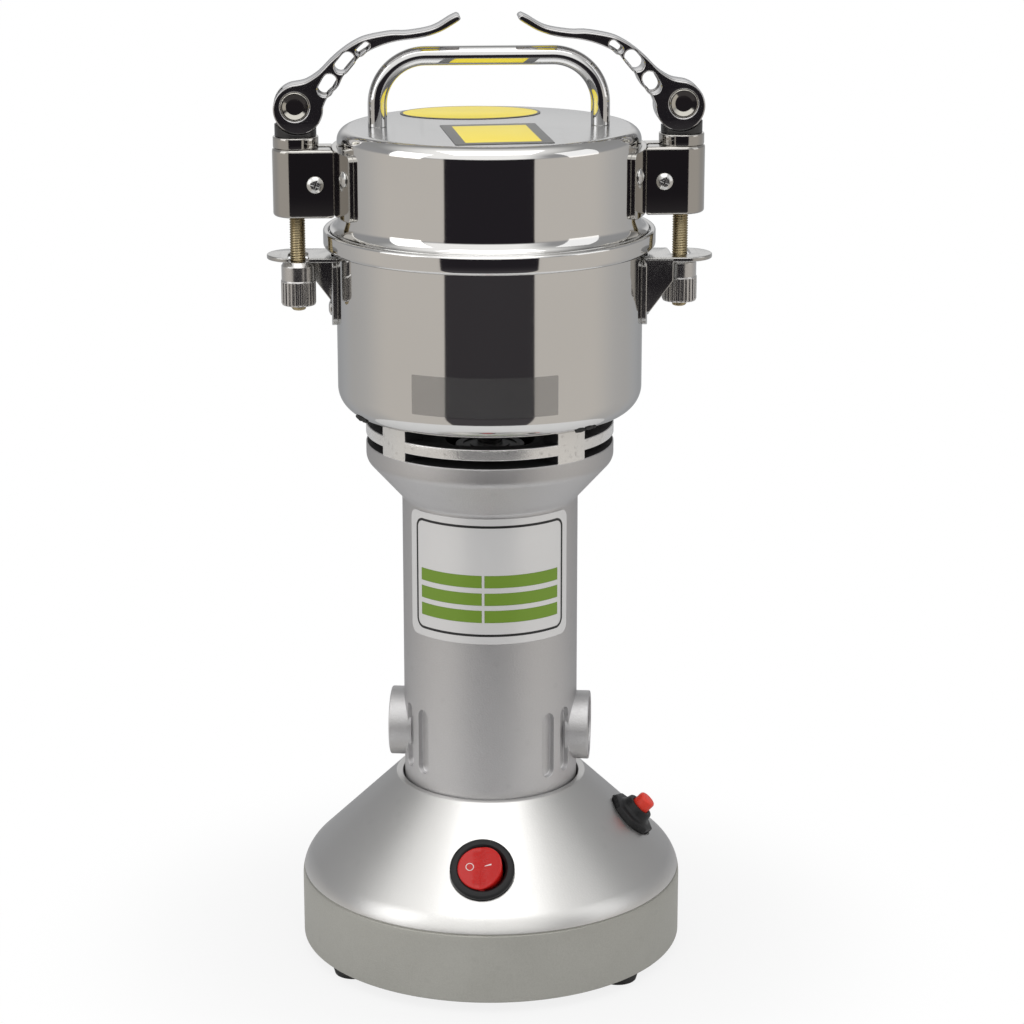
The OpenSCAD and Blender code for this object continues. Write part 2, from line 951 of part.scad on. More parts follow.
module breaker_nut() {
    color("black") at_breaker() difference() {
        union() {
            translate([0, 0, -spot_sink])
                cylinder(r = breaker_nut_r, h = breaker_nut_h);
            translate([0, 0, -spot_sink])
                cylinder(r = breaker_collar_r, h = breaker_top_z + spot_sink);
        }
        translate([0, 0, -switch_h])
            cylinder(r = breaker_neck_r + fitted, h = 2 * switch_h);
    }
}

module reset_button() {
    length = reset_tail + breaker_top_z + reset_h;
    color("red") at_breaker()
        translate([0, 0, -reset_tail])
            rotate_extrude() {
                square([reset_r, length - reset_edge]);
                square([reset_r - reset_edge, length]);
                translate([reset_r - reset_edge, length - reset_edge])
                    circle(r = reset_edge);
            }
}

// Section of the motor housing from its seat to the air slots
module housing_section() {
    edge_z = head_z - seat_z + head_edge_r * (sqrt(2) - 1);
    edge_in = head_edge_r * (1 - cos(45));
    square([tube_r, flare_z - seat_z]);
    polygon([
        [0, flare_z - seat_z],
        [tube_r, flare_z - seat_z],
        [head_r - edge_in, head_z - seat_z - edge_in],
        [head_r - head_edge_r, edge_z],
        [0, edge_z]
    ]);
    translate([head_r - head_edge_r, edge_z])
        circle(r = head_edge_r);
    translate([0, edge_z])
        square([head_r, vent_z - seat_z - edge_z]);
}

// Section of its hollow up to the web
module housing_hollow_section() {
    slant = head_t * sqrt(2);
    polygon([
        [0, -overrun],
        [tube_in_r, -overrun],
        [tube_in_r, stack_top_z - seat_z],
        [step_r, stack_top_z - seat_z],
        [step_r, flare_z - seat_z + step_r - tube_r + slant],
        [head_r - head_t, head_z - seat_z - head_t + slant],
        [head_r - head_t, vent_z - seat_z - web_t],
        [0, vent_z - seat_z - web_t]
    ]);
}

module motor_housing() {
    color("lightgray") difference() {
        union() {
            difference() {
                union() {
                    translate([0, 0, seat_z])
                        rotate_extrude()
                            housing_section();
                    at_brushes()
                        cylinder(d = boss_d, h = boss_reach);
                }
                translate([0, 0, seat_z])
                    rotate_extrude()
                        housing_hollow_section();
                // Air windows in the web
                in_housing()
                    for (i = [0:windows - 1])
                        rotate([0, 0, i * 360 / windows])
                            translate([(window_in + window_out) / 2, 0, hub_z])
                                round_bar(
                                    window_out - window_in + window_w,
                                    window_w,
                                    hub_drop + web_t + overrun
                                );
            }
            translate([0, 0, hub_z])
                cylinder(r = bearing_r + bearing_wall, h = vent_z - hub_z);
            // Ring between the air slots and the four posts
            translate([0, 0, vent_ring_z])
                ring(head_r, head_r - vent_ring_depth, vent_ring_h);
            in_housing()
                for (i = [0:posts - 1])
                    rotate([0, 0, post_first + i * 360 / posts])
                        translate([0, 0, vent_z - web_t])
                            arc_plate(head_r, head_r - post_depth, bowl_z - vent_z + web_t, post_angle);
            // Lugs of the long stator screws and of the base screws
            at_long_screws()
                translate([0, 0, stack_top_z])
                    cylinder(r = lug_r, h = lug_h);
            at_corners(lug_place)
                translate([0, 0, seat_z + bridge_t])
                    cylinder(r = lug_r, h = lug_h);
        }
        translate([0, 0, hub_z - overrun])
            cylinder(r = bearing_r + fitted, h = upper_bearing_z + bearing_h - hub_z + overrun);
        translate([0, 0, hub_z])
            cylinder(r = hub_lip_r, h = bowl_z - hub_z);
        at_corners(bowl_screw_place)
            translate([0, 0, floor_z - bowl_screw_l])
                cylinder(r = bowl_screw_r + fitted, h = bowl_screw_l);
        at_long_screws()
            translate([0, 0, stack_low_z])
                cylinder(r = long_screw_r + fitted, h = stack_h + lug_h);
        at_corners(housing_screw_place)
            translate([0, 0, seat_z])
                cylinder(r = housing_screw_r + fitted, h = bridge_t + lug_h);
        // Brush bores with the pockets of the caps
        at_brushes() {
            cylinder(r = sleeve_r + fitted, h = boss_reach + overrun);
            translate([0, 0, cap_z])
                cylinder(r = cap_r + cap_play, h = cap_pocket + overrun);
        }
        // Blind slots around the bosses
        in_housing()
            for (side = [90, 270], angle = slot_angles)
                rotate([0, 0, side + angle])
                    translate([0, -tube_r + slot_depth, seat_z + slot_rise + slot_h / 2])
                        rotate([90, 90, 0])
                            round_bar(slot_h, slot_w, slot_depth + overrun);
    }
}

module housing_screws() {
    color("gray") at_corners(housing_screw_place)
        translate([0, 0, seat_z - ledge_t])
            screw(housing_screw_r, ledge_t + bridge_t + lug_h, housing_head_r, housing_head_h);
}

module rating_plate() {
    width = 2 * tube_r * sin(plate_angle / 2);
    color("white") rotate([0, 0, plate_turn]) intersection() {
        translate([0, 0, seat_z + plate_z - overrun])
            ring(tube_r + fitted + sticker_t, tube_r + fitted, plate_h + 2 * overrun);
        translate([0, 0, seat_z + plate_z + plate_h / 2])
            rotate([90, 0, 0])
                linear_extrude(height = tube_d)
                    round_card(width, plate_h, plate_corner);
    }
}

module brush_holders() {
    color("peru") at_brushes()
        translate([0, 0, sleeve_start])
            difference() {
                cylinder(r = sleeve_r, h = cap_z - sleeve_start);
                translate([-brush_w / 2 - brush_play, -brush_h / 2 - brush_play, -overrun])
                    cube([brush_w + 2 * brush_play, brush_h + 2 * brush_play, boss_reach]);
            }
}

module carbon_brushes() {
    color("black") at_brushes()
        difference() {
            translate([-brush_w / 2, -brush_h / 2, commutator_d / 4])
                cube([brush_w, brush_h, brush_start + brush_l - commutator_d / 4]);
            rotate([90, 0, 0])
                translate([0, 0, -brush_h])
                    cylinder(r = brush_start, h = 2 * brush_h);
        }
}

module brush_springs() {
    color("gold") at_brushes()
        translate([0, 0, brush_start + brush_l])
            ring(spring_r, spring_r - spring_wall, cap_z - brush_start - brush_l);
}

module brush_caps() {
    color("black") at_brushes()
        translate([0, 0, cap_z])
            difference() {
                cylinder(r = cap_r, h = cap_t);
                translate([-cap_slot_share * cap_r, -cap_slot_w / 2, cap_t - cap_slot_depth])
                    cube([2 * cap_slot_share * cap_r, cap_slot_w, cap_t]);
            }
}

module stator_core() {
    color("slategray") in_housing() difference() {
        translate([0, 0, stack_low_z])
            linear_extrude(height = stack_h)
                difference() {
                    union() {
                        difference() {
                            circle(r = tube_in_r - fitted);
                            circle(r = yoke_r);
                        }
                        intersection() {
                            circle(r = yoke_r + overrun);
                            square([2 * tube_r, pole_w], center = true);
                        }
                        for (angle = [0, 180])
                            rotate(angle)
                                intersection() {
                                    circle(r = stator_bore / 2 + shoe_t);
                                    wedge(tube_r, shoe_angle);
                                }
                    }
                    circle(d = stator_bore);
                }
        for (angle = [0, 180])
            rotate([0, 0, angle])
                translate([0, -lug_place, stack_low_z - overrun])
                    cylinder(r = long_screw_r + fitted, h = stack_h + 2 * overrun);
    }
}

module field_coils() {
    color("darkorange") in_housing() difference() {
        for (angle = [90, 270])
            rotate([0, 0, angle])
                translate([0, 0, stack_low_z - coil_h])
                    arc_plate(
                        yoke_r - coil_play,
                        stator_bore / 2 + shoe_t + coil_play,
                        stack_h + 2 * coil_h,
                        2 * coil_angle
                    );
        translate([-tube_r, -pole_w / 2 - coil_play, stack_low_z - coil_play])
            cube([2 * tube_r, pole_w + 2 * coil_play, stack_h + 2 * coil_play]);
    }
}

module stator_screws() {
    color("gray") at_long_screws()
        translate([0, 0, stack_low_z])
            screw(long_screw_r, stack_h + lug_h, long_head_r, long_head_h);
}

module bearing_bridge() {
    color("lightgray") difference() {
        union() {
            translate([0, 0, seat_z])
                cylinder(r = tube_in_r - fitted, h = bridge_t);
            translate([0, 0, seat_z])
                cylinder(r = lower_bearing_r + bridge_wall, h = bridge_floor + lower_bearing_h);
        }
        translate([0, 0, seat_z + bridge_floor])
            cylinder(r = lower_bearing_r + fitted, h = lower_bearing_h + overrun);
        translate([0, 0, seat_z - overrun])
            cylinder(r = bridge_bore_r, h = bridge_h);
        at_corners(housing_screw_place)
            cylinder(r = housing_screw_r + screw_play, h = base_h + bridge_h);
        in_housing()
            for (angle = [0, 90, 180, 270])
                rotate([0, 0, angle])
                    translate([0, bridge_window_place, seat_z - overrun])
                        cylinder(r = bridge_window_r, h = bridge_h);
    }
}

// Ball bearing with a groove in both faces between its races
module bearing(r, bore_r, h) {
    groove_r = (r + bore_r) / 2;
    difference() {
        cylinder(r = r, h = h);
        translate([0, 0, -overrun])
            cylinder(r = bore_r + running, h = h + 2 * overrun);
        for (z = [-h, h - groove_depth])
            translate([0, 0, z])
                ring(groove_r + groove_w / 2, groove_r - groove_w / 2, h + groove_depth);
    }
}

module lower_bearing() {
    color("silver") translate([0, 0, seat_z + bridge_floor])
        bearing(lower_bearing_r, journal_r, lower_bearing_h);
}

module upper_bearing() {
    color("silver") translate([0, 0, upper_bearing_z])
        bearing(bearing_r, shaft_r, bearing_h);
}

module motor_shaft() {
    shoulder_z = seat_z + bridge_floor + lower_bearing_h + apart;
    color("silver") {
        translate([0, 0, seat_z + shaft_lift])
            cylinder(r = journal_r, h = shoulder_z - seat_z);
        translate([0, 0, shoulder_z])
            cylinder(r = shaft_r, h = blade_nut_z + blade_nut_h + shaft_stub - shoulder_z);
    }
}

module armature_core() {
    color("slategray") translate([0, 0, stack_low_z])
        linear_extrude(height = stack_h)
            difference() {
                circle(r = armature_r);
                circle(r = shaft_r + fitted);
                for (i = [0:armature_slots - 1])
                    rotate(i * 360 / armature_slots)
                        translate([armature_r - armature_slot_depth, -armature_slot_w / 2])
                            square([armature_slot_depth + overrun, armature_slot_w]);
            }
}

module armature_windings() {
    hub = shaft_r + 2 * coil_play;
    bar_w = armature_slot_w - 2 * coil_play;
    in_r = armature_r - armature_slot_depth + coil_play;
    color("darkorange") {
        for (z = [stack_low_z - winding_h, stack_top_z + coil_play])
            translate([0, 0, z])
                ring(armature_r - winding_in, hub, winding_h - coil_play);
        for (i = [0:armature_slots - 1])
            rotate([0, 0, i * 360 / armature_slots])
                translate([in_r, -bar_w / 2, stack_low_z - winding_h])
                    cube([armature_r - winding_in - in_r, bar_w, stack_h + 2 * winding_h]);
    }
}

module commutator() {
    color("peru") translate([0, 0, commutator_z]) difference() {
        cylinder(d = commutator_d, h = commutator_h);
        translate([0, 0, -overrun])
            cylinder(r = shaft_r + fitted, h = commutator_h + 2 * overrun);
        for (i = [0:bars - 1])
            rotate([0, 0, i * 360 / bars])
                translate([commutator_d / 2 - bar_depth, -bar_gap / 2, -overrun])
                    cube([bar_depth + overrun, bar_gap, commutator_h + 2 * overrun]);
    }
}

module cooling_fan() {
    color("dimgray") translate([0, 0, fan_z]) difference() {
        union() {
            cylinder(r = fan_hub_r, h = fan_h);
            cylinder(r = fan_r, h = fan_disc_t);
            for (i = [0:fan_blades - 1])
                rotate([0, 0, i * 360 / fan_blades])
                    translate([fan_hub_r - fan_vane_t, 0, 0])
                        rotate([0, 0, fan_lean])
                            translate([0, -fan_vane_t / 2, 0])
                                cube([fan_vane_share * fan_r, fan_vane_t, fan_h]);
        }
        translate([0, 0, -overrun])
            cylinder(r = shaft_r + fitted, h = fan_h + 2 * overrun);
    }
}

module blade_spacers() {
    color("silver") {
        translate([0, 0, low_blade_z - spacer_low_h])
            ring(spacer_low_r, shaft_r + fitted, spacer_low_h);
        translate([0, 0, low_blade_z + blade_t])
            ring(spacer_r, shaft_r + fitted, blade_gap);
    }
}

// Flat blade whose outer ends bend upwards and taper to the tip
module blade(length, bend) {
    flat = length / 2 - blade_tip_l;
    difference() {
        union() {
            cylinder(r = blade_hub_r, h = blade_t);
            translate([-flat, -blade_w / 2, 0])
                cube([2 * flat, blade_w, blade_t]);
            for (angle = [0, 180])
                rotate([0, 0, angle])
                    translate([flat, 0, 0])
                        rotate([0, -bend, 0])
                            translate([0, 0, blade_t])
                                mirror([0, 0, 1])
                                    linear_extrude(height = blade_t)
                                        polygon([
                                            [0, -blade_w / 2],
                                            [blade_tip_l, blade_w * tip_share],
                                            [blade_tip_l, blade_w / 2],
                                            [0, blade_w / 2]
                                        ]);
        }
        translate([0, 0, -overrun])
            cylinder(r = shaft_r + fitted, h = blade_t + 2 * overrun);
    }
}

module lower_blade() {
    color("silver") translate([0, 0, low_blade_z])
        blade(low_blade_l, low_bend);
}

module upper_blade() {
    color("silver") translate([0, 0, top_blade_z])
        rotate([0, 0, 90])
            blade(top_blade_l, top_bend);
}

module blade_nut() {
    color("silver") translate([0, 0, blade_nut_z]) difference() {
        union() {
            cylinder(r = blade_nut_r, h = blade_nut_h, $fn = blade_nut_sides);
            cylinder(r = blade_nut_r, h = blade_washer_t);
        }
        translate([0, 0, -overrun])
            cylinder(r = shaft_r + fitted, h = blade_nut_h + 2 * overrun);
    }
}

// Section of the bowl, moved inwards by `inset`
module bowl_section(inset, h) {
    translate([0, inset])
        square([bowl_r - bowl_corner_r, h - inset]);
    translate([bowl_r - bowl_corner_r, bowl_corner_r])
        circle(r = bowl_corner_r - inset);
    translate([0, bowl_corner_r])
        square([bowl_r - inset, h - bowl_corner_r]);
}

module grinding_bowl() {
    color("silver") translate([0, 0, bowl_z]) difference() {
        rotate_extrude() {
            difference() {
                bowl_section(0, bowl_h - sheet_t - bowl_blend_r);
                bowl_section(sheet_t, bowl_h);
            }
            translate([bowl_r, bowl_h])
                mirror([0, 1])
                    flare(bowl_blend_r, brim_r - bowl_r);
            translate([brim_r - bead_w, bowl_h + bead_rise - bead_h])
                square([bead_w, bead_h]);
        }
        translate([0, 0, -overrun])
            cylinder(r = bowl_hole_r, h = sheet_t + 2 * overrun);
        at_corners(bowl_screw_place)
            translate([0, 0, -overrun])
                cylinder(r = bowl_screw_r + screw_play, h = sheet_t + 2 * overrun);
    }
}

module bowl_screws() {
    color("gray") at_corners(bowl_screw_place)
        translate([0, 0, floor_z])
            mirror([0, 0, 1])
                screw(bowl_screw_r, bowl_screw_l, bowl_head_r, bowl_head_h);
}

module shaft_seal() {
    color("dimgray") difference() {
        union() {
            translate([0, 0, floor_z])
                cylinder(r = seal_flange_r, h = seal_flange_t);
            translate([0, 0, bowl_z - seal_foot_t])
                cylinder(r = bowl_hole_r - fitted, h = seal_foot_t + sheet_t + seal_flange_t);
            translate([0, 0, bowl_z - seal_foot_t])
                cylinder(r = seal_foot_r, h = seal_foot_t);
        }
        translate([0, 0, bowl_z - seal_foot_t - overrun])
            cylinder(r = shaft_r + running, h = seal_foot_t + bowl_h);
    }
}

// Tab on the right of the bowl, its slot open towards the back for the turning lid
module tab() {
    difference() {
        rotate([0, 0, tab_turn])
            difference() {
                union() {
                    translate([0, -tab_r, tab_z])
                        cube([tab_end_x, tab_w, tab_t]);
                    translate([tab_end_x, 0, tab_z])
                        cylinder(r = tab_r, h = tab_t);
                    rotate([0, 0, 90])
                        translate([0, 0, tab_z + tab_t - tab_flange_h])
                            arc_plate(flange_out_r, flange_in_r, tab_flange_h, flange_angle);
                    // Gusset on the closed side of the slot
                    translate([0, gusset_t - tab_r, 0])
                        rotate([90, 0, 0])
                            linear_extrude(height = gusset_t)
                                polygon([
                                    [gusset_root, tab_z + tab_t],
                                    [gusset_root, tab_z - gusset_root_drop],
                                    [gusset_root + flange_t, tab_z - gusset_root_drop],
                                    [gusset_reach, tab_z - gusset_drop],
                                    [gusset_reach, tab_z + tab_t]
                                ]);
                }
                cylinder(r = flange_in_r, h = 2 * brim_z);
                translate([0, 0, tab_z + tab_t - tab_flange_h + tab_rivet_rise])
                    rotate([0, 90, 0])
                        cylinder(r = rivet_r + fitted, h = 2 * bowl_r);
            }
        rotate([0, 0, -tab_slot_past]) {
            translate([clamp_r, 0, tab_z - overrun])
                cylinder(d = tab_slot_w, h = tab_t + 2 * overrun);
            translate([0, 0, tab_z - overrun])
                rotate_extrude(angle = tab_slot_turn)
                    translate([clamp_r - tab_slot_w / 2, 0])
                        square([tab_slot_w, tab_t + 2 * overrun]);
        }
    }
}

module tab_right() {
    color("silver") tab();
}

module tab_left() {
    color("silver") left_side() tab();
}

// Rivet along +X from the wall at x = start, with its outer head over the sheet
module rivet(start, grip) {
    translate([start, 0, 0])
        rotate([0, 90, 0]) {
            cylinder(r = rivet_r, h = grip + rivet_head_h);
            translate([0, 0, grip])
                cylinder(r = rivet_head_r, h = rivet_head_h);
        }
}

module tab_rivets() {
    color("silver") both_sides()
        rotate([0, 0, tab_turn])
            translate([0, 0, tab_z + tab_t - tab_flange_h + tab_rivet_rise])
                rivet(flange_in_r, flange_t);
}

module bowl_film() {
    color("white") translate([0, 0, bowl_z + film_rise])
        rotate([0, 0, film_turn])
            arc_plate(bowl_r + fitted + sticker_t, bowl_r + fitted, film_h, film_angle);
}

// Section of the lid above its brim, moved inwards by `inset`
module lid_section(inset) {
    translate([0, lid_h - lid_edge_r])
        square([lid_r - lid_edge_r, lid_edge_r - inset]);
    translate([lid_r - lid_edge_r, lid_h - lid_edge_r])
        circle(r = lid_edge_r - inset);
    translate([0, -inset])
        square([lid_r - inset, lid_h - lid_edge_r + inset]);
}

module lid_shell() {
    color("silver") difference() {
        translate([0, 0, lid_z])
            rotate_extrude() {
                difference() {
                    lid_section(0);
                    lid_section(sheet_t);
                    square([lid_r + overrun, sheet_t + lid_blend_r]);
                }
                translate([lid_r, 0])
                    flare(lid_blend_r, lid_brim_r - lid_r);
            }
        at_handle_legs()
            translate([0, 0, lid_top_z - 2 * sheet_t])
                cylinder(r = leg_screw_r + screw_play, h = 3 * sheet_t);
        both_sides()
            at_bracket_rivets()
                rotate([0, 90, 0])
                    cylinder(r = rivet_r + fitted, h = 2 * bowl_r);
    }
}

module lid_seal() {
    color("white") translate([0, 0, lid_z])
        rotate_extrude()
            difference() {
                translate([lid_r - sheet_t + fitted, -lid_seal_low])
                    square([lid_seal_w, lid_seal_h + lid_seal_low]);
                translate([lid_r + lid_blend_r, sheet_t + lid_blend_r])
                    circle(r = lid_blend_r + sheet_t + fitted);
                translate([bowl_r + bowl_blend_r, -apart - sheet_t - bowl_blend_r])
                    circle(r = bowl_blend_r + sheet_t + seal_gap);
            }
}

module at_handle_legs() {
    for (side = [-1, 1])
        translate([side * handle_span / 2, 0, 0])
            children();
}

module lid_handle() {
    bend_x = handle_span / 2 - handle_bend;
    color("silver") translate([0, 0, lid_top_z]) difference() {
        union() {
            at_handle_legs()
                cylinder(r = handle_r, h = leg_h);
            for (angle = [0, 180])
                rotate([0, 0, angle])
                    translate([bend_x, 0, leg_h])
                        rotate([90, 0, 0])
                            rotate_extrude(angle = 90)
                                translate([handle_bend, 0])
                                    circle(r = handle_r);
            translate([-bend_x, 0, leg_h + handle_bend])
                rotate([0, 90, 0])
                    cylinder(r = handle_r, h = 2 * bend_x);
        }
        at_handle_legs()
            translate([0, 0, -overrun])
                cylinder(r = leg_screw_r + fitted, h = leg_screw_l - sheet_t + overrun);
    }
}

module handle_screws() {
    color("gray") at_handle_legs()
        translate([0, 0, lid_top_z - sheet_t])
            screw(leg_screw_r, leg_screw_l, leg_head_r, leg_head_h);
}

// Puts things on the rivet axes of the right bracket with +X outwards
module at_bracket_rivets() {
    for (side = [-1, 1])
        rotate([0, 0, side * bracket_rivet_angle])
            translate([0, 0, lid_z + bracket_rise + bracket_rivet_rise])
                children();
}

module lid_brackets() {
    color("silver") both_sides() difference() {
        union() {
            translate([0, 0, lid_z + bracket_rise])
                rotate([0, 0, 90])
                    arc_plate(bracket_out_r, bracket_in_r, bracket_h, 2 * bracket_angle);
            translate([bracket_in_r, -tongue_t / 2, lid_z + bracket_rise + tongue_rise])
                cube([tongue_reach - bracket_in_r, tongue_t, tongue_h]);
        }
        cylinder(r = bracket_in_r, h = 2 * lid_top_z);
        translate([block_screw_x, tab_r, block_screw_z])
            rotate([90, 0, 0])
                cylinder(r = block_screw_r + screw_play, h = tab_w);
        at_bracket_rivets()
            rotate([0, 90, 0])
                cylinder(r = rivet_r + fitted, h = 2 * bowl_r);
    }
}

module bracket_rivets() {
    color("silver") both_sides()
        at_bracket_rivets()
            rivet(lid_r - sheet_t, sheet_t + fitted + bracket_t);
}

module clamp_block() {
    difference() {
        translate([0, 0, block_z])
            linear_extrude(height = block_h)
                difference() {
                    union() {
                        translate([clamp_r, 0])
                            circle(r = block_r);
                        translate([lid_r - block_r, -block_r])
                            square([clamp_r - lid_r + block_r, block_w]);
                    }
                    circle(r = bracket_out_r + fitted);
                }
        translate([lid_r, -tongue_t / 2 - fitted, lid_z + bracket_rise + tongue_rise - fitted])
            cube([tongue_reach - lid_r + fitted, tongue_t + 2 * fitted, tongue_h + 2 * fitted]);
        translate([clamp_r, 0, block_z - overrun])
            cylinder(r = rod_r + rod_play, h = block_h + 2 * overrun);
        translate([block_screw_x, block_r + overrun, block_screw_z])
            rotate([90, 0, 0])
                cylinder(r = block_screw_r + fitted, h = block_w + 2 * overrun);
    }
}

module clamp_block_right() {
    color("gray") clamp_block();
}

module clamp_block_left() {
    color("gray") left_side() clamp_block();
}

module block_screws() {
    color("silver") for (side = [-1, 1])
        translate([side * block_screw_x, -block_r, block_screw_z])
            rotate([-90, 0, 0])
                screw(block_screw_r, block_w, block_head_r, block_head_h);
}

module cam_collars() {
    color("silver") both_sides()
        translate([clamp_r, 0, block_top_z])
            ring(collar_d / 2, rod_r + apart, collar_h);
}

module cam_cradles() {
    seat_r = cam_r + cradle_extra;
    color("black") both_sides() difference() {
        translate([clamp_r, 0, cradle_z])
            cylinder(d = cradle_d, h = cradle_h);
        translate([clamp_r, 0, cradle_z - overrun])
            cylinder(r = rod_r + apart, h = cradle_h + 2 * overrun);
        translate([cam_x, cradle_d, cam_low_z - cam_seat + seat_r])
            rotate([90, 0, 0])
                cylinder(r = seat_r, h = 2 * cradle_d);
    }
}

module lid_stickers() {
    color("yellow") {
        translate([card_x, card_y, lid_top_z])
            rotate([0, 0, card_tilt])
                translate([-card_w / 2, -card_l / 2, 0])
                    cube([card_w, card_l, sticker_t]);
        translate([oval_x, oval_y, lid_top_z])
            scale([oval_w / oval_l, 1, 1])
                cylinder(d = oval_l, h = sticker_t);
    }
}

module clamp_rod() {
    translate([clamp_r, 0, rod_low_z])
        cylinder(r = rod_r, h = pivot_z + barrel_hole_top - fitted - rod_low_z);
}

module clamp_rod_right() {
    color("olive") clamp_rod();
}

module clamp_rod_left() {
    color("olive") left_side() clamp_rod();
}

module barrel_pin() {
    difference() {
        translate([clamp_r, lever_w / 2, pivot_z])
            rotate([90, 0, 0])
                cylinder(r = barrel_r, h = lever_w);
        translate([clamp_r, 0, pivot_z - cam_r])
            cylinder(r = rod_r + fitted, h = cam_r + barrel_hole_top);
    }
}

module barrel_pin_right() {
    color("silver") barrel_pin();
}

module barrel_pin_left() {
    color("silver") left_side() barrel_pin();
}

// Lever in the plane of the clamps with its arm towards -X from the pin at the origin
module lever_shape() {
    difference() {
        union() {
            translate([-cam_offset * cos(cam_angle), -cam_offset * sin(cam_angle)])
                circle(r = cam_r);
            polygon([
                for (share = arm_top_shares) [-share[0] * lever_reach, share[1] * lever_rise],
                for (share = arm_low_shares) [-share[0] * lever_reach, share[1] * lever_rise],
                [0, 0]
            ]);
        }
        circle(r = barrel_r + running);
        for (hole = hole_shares)
            translate([-hole[0] * lever_reach, hole[1] * lever_rise])
                rotate(-hole[2])
                    slot_shape(hole[3] * lever_w, hole[4] * lever_w);
    }
}

// Space that the rod sweeps in the lever from clamped to open
module rod_sweep() {
    side = [lever_slot / 2 * cos(lever_swing), lever_slot / 2 * sin(lever_swing)];
    polygon([
        [-lever_slot / 2, 0],
        [-lever_slot / 2, -cam_reach],
        [cam_reach, -cam_reach],
        side + cam_reach * [sin(lever_swing), -cos(lever_swing)],
        side
    ]);
}

// Slot with round ends along X
module slot_shape(length, width) {
    for (side = [-1, 1])
        translate([side * (length - width) / 2, 0])
            circle(d = width);
    square([length - width, width], center = true);
}

module lever() {
    translate([clamp_r, 0, pivot_z]) difference() {
        translate([0, lever_w / 2, 0])
            rotate([90, 0, 0])
                linear_extrude(height = lever_w)
                    lever_shape();
        translate([0, lever_slot / 2, 0])
            rotate([90, 0, 0])
                linear_extrude(height = lever_slot)
                    rod_sweep();
    }
}

module lever_right() {
    color("dimgray") lever();
}

module lever_left() {
    color("dimgray") left_side() lever();
}

module nut() {
    translate([clamp_r, 0, nut_z]) difference() {
        union() {
            cylinder(r = nut_r, h = knurl_h);
            cylinder(r = nut_neck_r, h = nut_h - nut_tip_h);
            translate([0, 0, nut_h - nut_tip_h])
                cylinder(r1 = nut_neck_r, r2 = nut_tip_r, h = nut_tip_h);
        }
        translate([0, 0, -overrun])
            cylinder(r = rod_r + running, h = nut_h + 2 * overrun);
        for (i = [0:knurls - 1])
            rotate([0, 0, i * 360 / knurls])
                translate([nut_r + knurl_r / 2, 0, -overrun])
                    cylinder(r = knurl_r, h = knurl_h - knurl_rim + overrun);
    }
}

module nut_right() {
    color("silver") nut();
}

module nut_left() {
    color("silver") left_side() nut();
}

base_shell();
base_cover();
rubber_feet();
cover_screws();
cord_bush();
switch_housing();
switch_rocker();
breaker_body();
breaker_nut();
reset_button();
motor_housing();
housing_screws();
rating_plate();
brush_holders();
carbon_brushes();
brush_springs();
brush_caps();
stator_core();
field_coils();
stator_screws();
bearing_bridge();
lower_bearing();
upper_bearing();
motor_shaft();
armature_core();
armature_windings();
commutator();
cooling_fan();
blade_spacers();
lower_blade();
upper_blade();
blade_nut();
grinding_bowl();
bowl_screws();
shaft_seal();
tab_left();
tab_right();
tab_rivets();
bowl_film();
lid_shell();
lid_seal();
lid_handle();
handle_screws();
lid_brackets();
bracket_rivets();
clamp_block_left();
clamp_block_right();
block_screws();
cam_collars();
cam_cradles();
lid_stickers();
clamp_rod_left();
clamp_rod_right();
barrel_pin_left();
barrel_pin_right();
lever_left();
lever_right();
nut_left();
nut_right();
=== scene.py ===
import math

import bmesh
import bpy
from mathutils import Matrix, Vector


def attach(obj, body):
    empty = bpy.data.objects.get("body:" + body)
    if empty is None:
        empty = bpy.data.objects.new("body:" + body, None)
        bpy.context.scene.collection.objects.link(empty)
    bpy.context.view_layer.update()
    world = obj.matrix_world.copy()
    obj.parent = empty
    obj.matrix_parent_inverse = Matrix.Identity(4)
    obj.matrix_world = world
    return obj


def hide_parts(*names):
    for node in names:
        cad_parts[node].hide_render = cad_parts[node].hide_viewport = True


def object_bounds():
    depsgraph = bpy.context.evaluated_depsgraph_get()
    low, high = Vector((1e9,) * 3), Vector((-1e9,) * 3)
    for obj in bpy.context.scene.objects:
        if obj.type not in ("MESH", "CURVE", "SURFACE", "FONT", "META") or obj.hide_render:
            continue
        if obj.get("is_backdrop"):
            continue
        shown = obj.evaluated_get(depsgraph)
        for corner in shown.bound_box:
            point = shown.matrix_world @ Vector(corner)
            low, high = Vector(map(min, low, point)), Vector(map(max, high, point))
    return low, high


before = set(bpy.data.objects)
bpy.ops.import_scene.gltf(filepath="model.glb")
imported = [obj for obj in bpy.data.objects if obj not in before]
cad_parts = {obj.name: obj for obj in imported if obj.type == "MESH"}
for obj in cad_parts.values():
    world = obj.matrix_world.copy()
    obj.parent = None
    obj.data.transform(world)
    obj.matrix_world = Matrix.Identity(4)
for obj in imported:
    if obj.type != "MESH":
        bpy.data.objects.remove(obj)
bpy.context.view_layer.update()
print("frame loaded:", len(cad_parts), "nodes")

mm = 0.001
fullTurn = 2 * math.pi


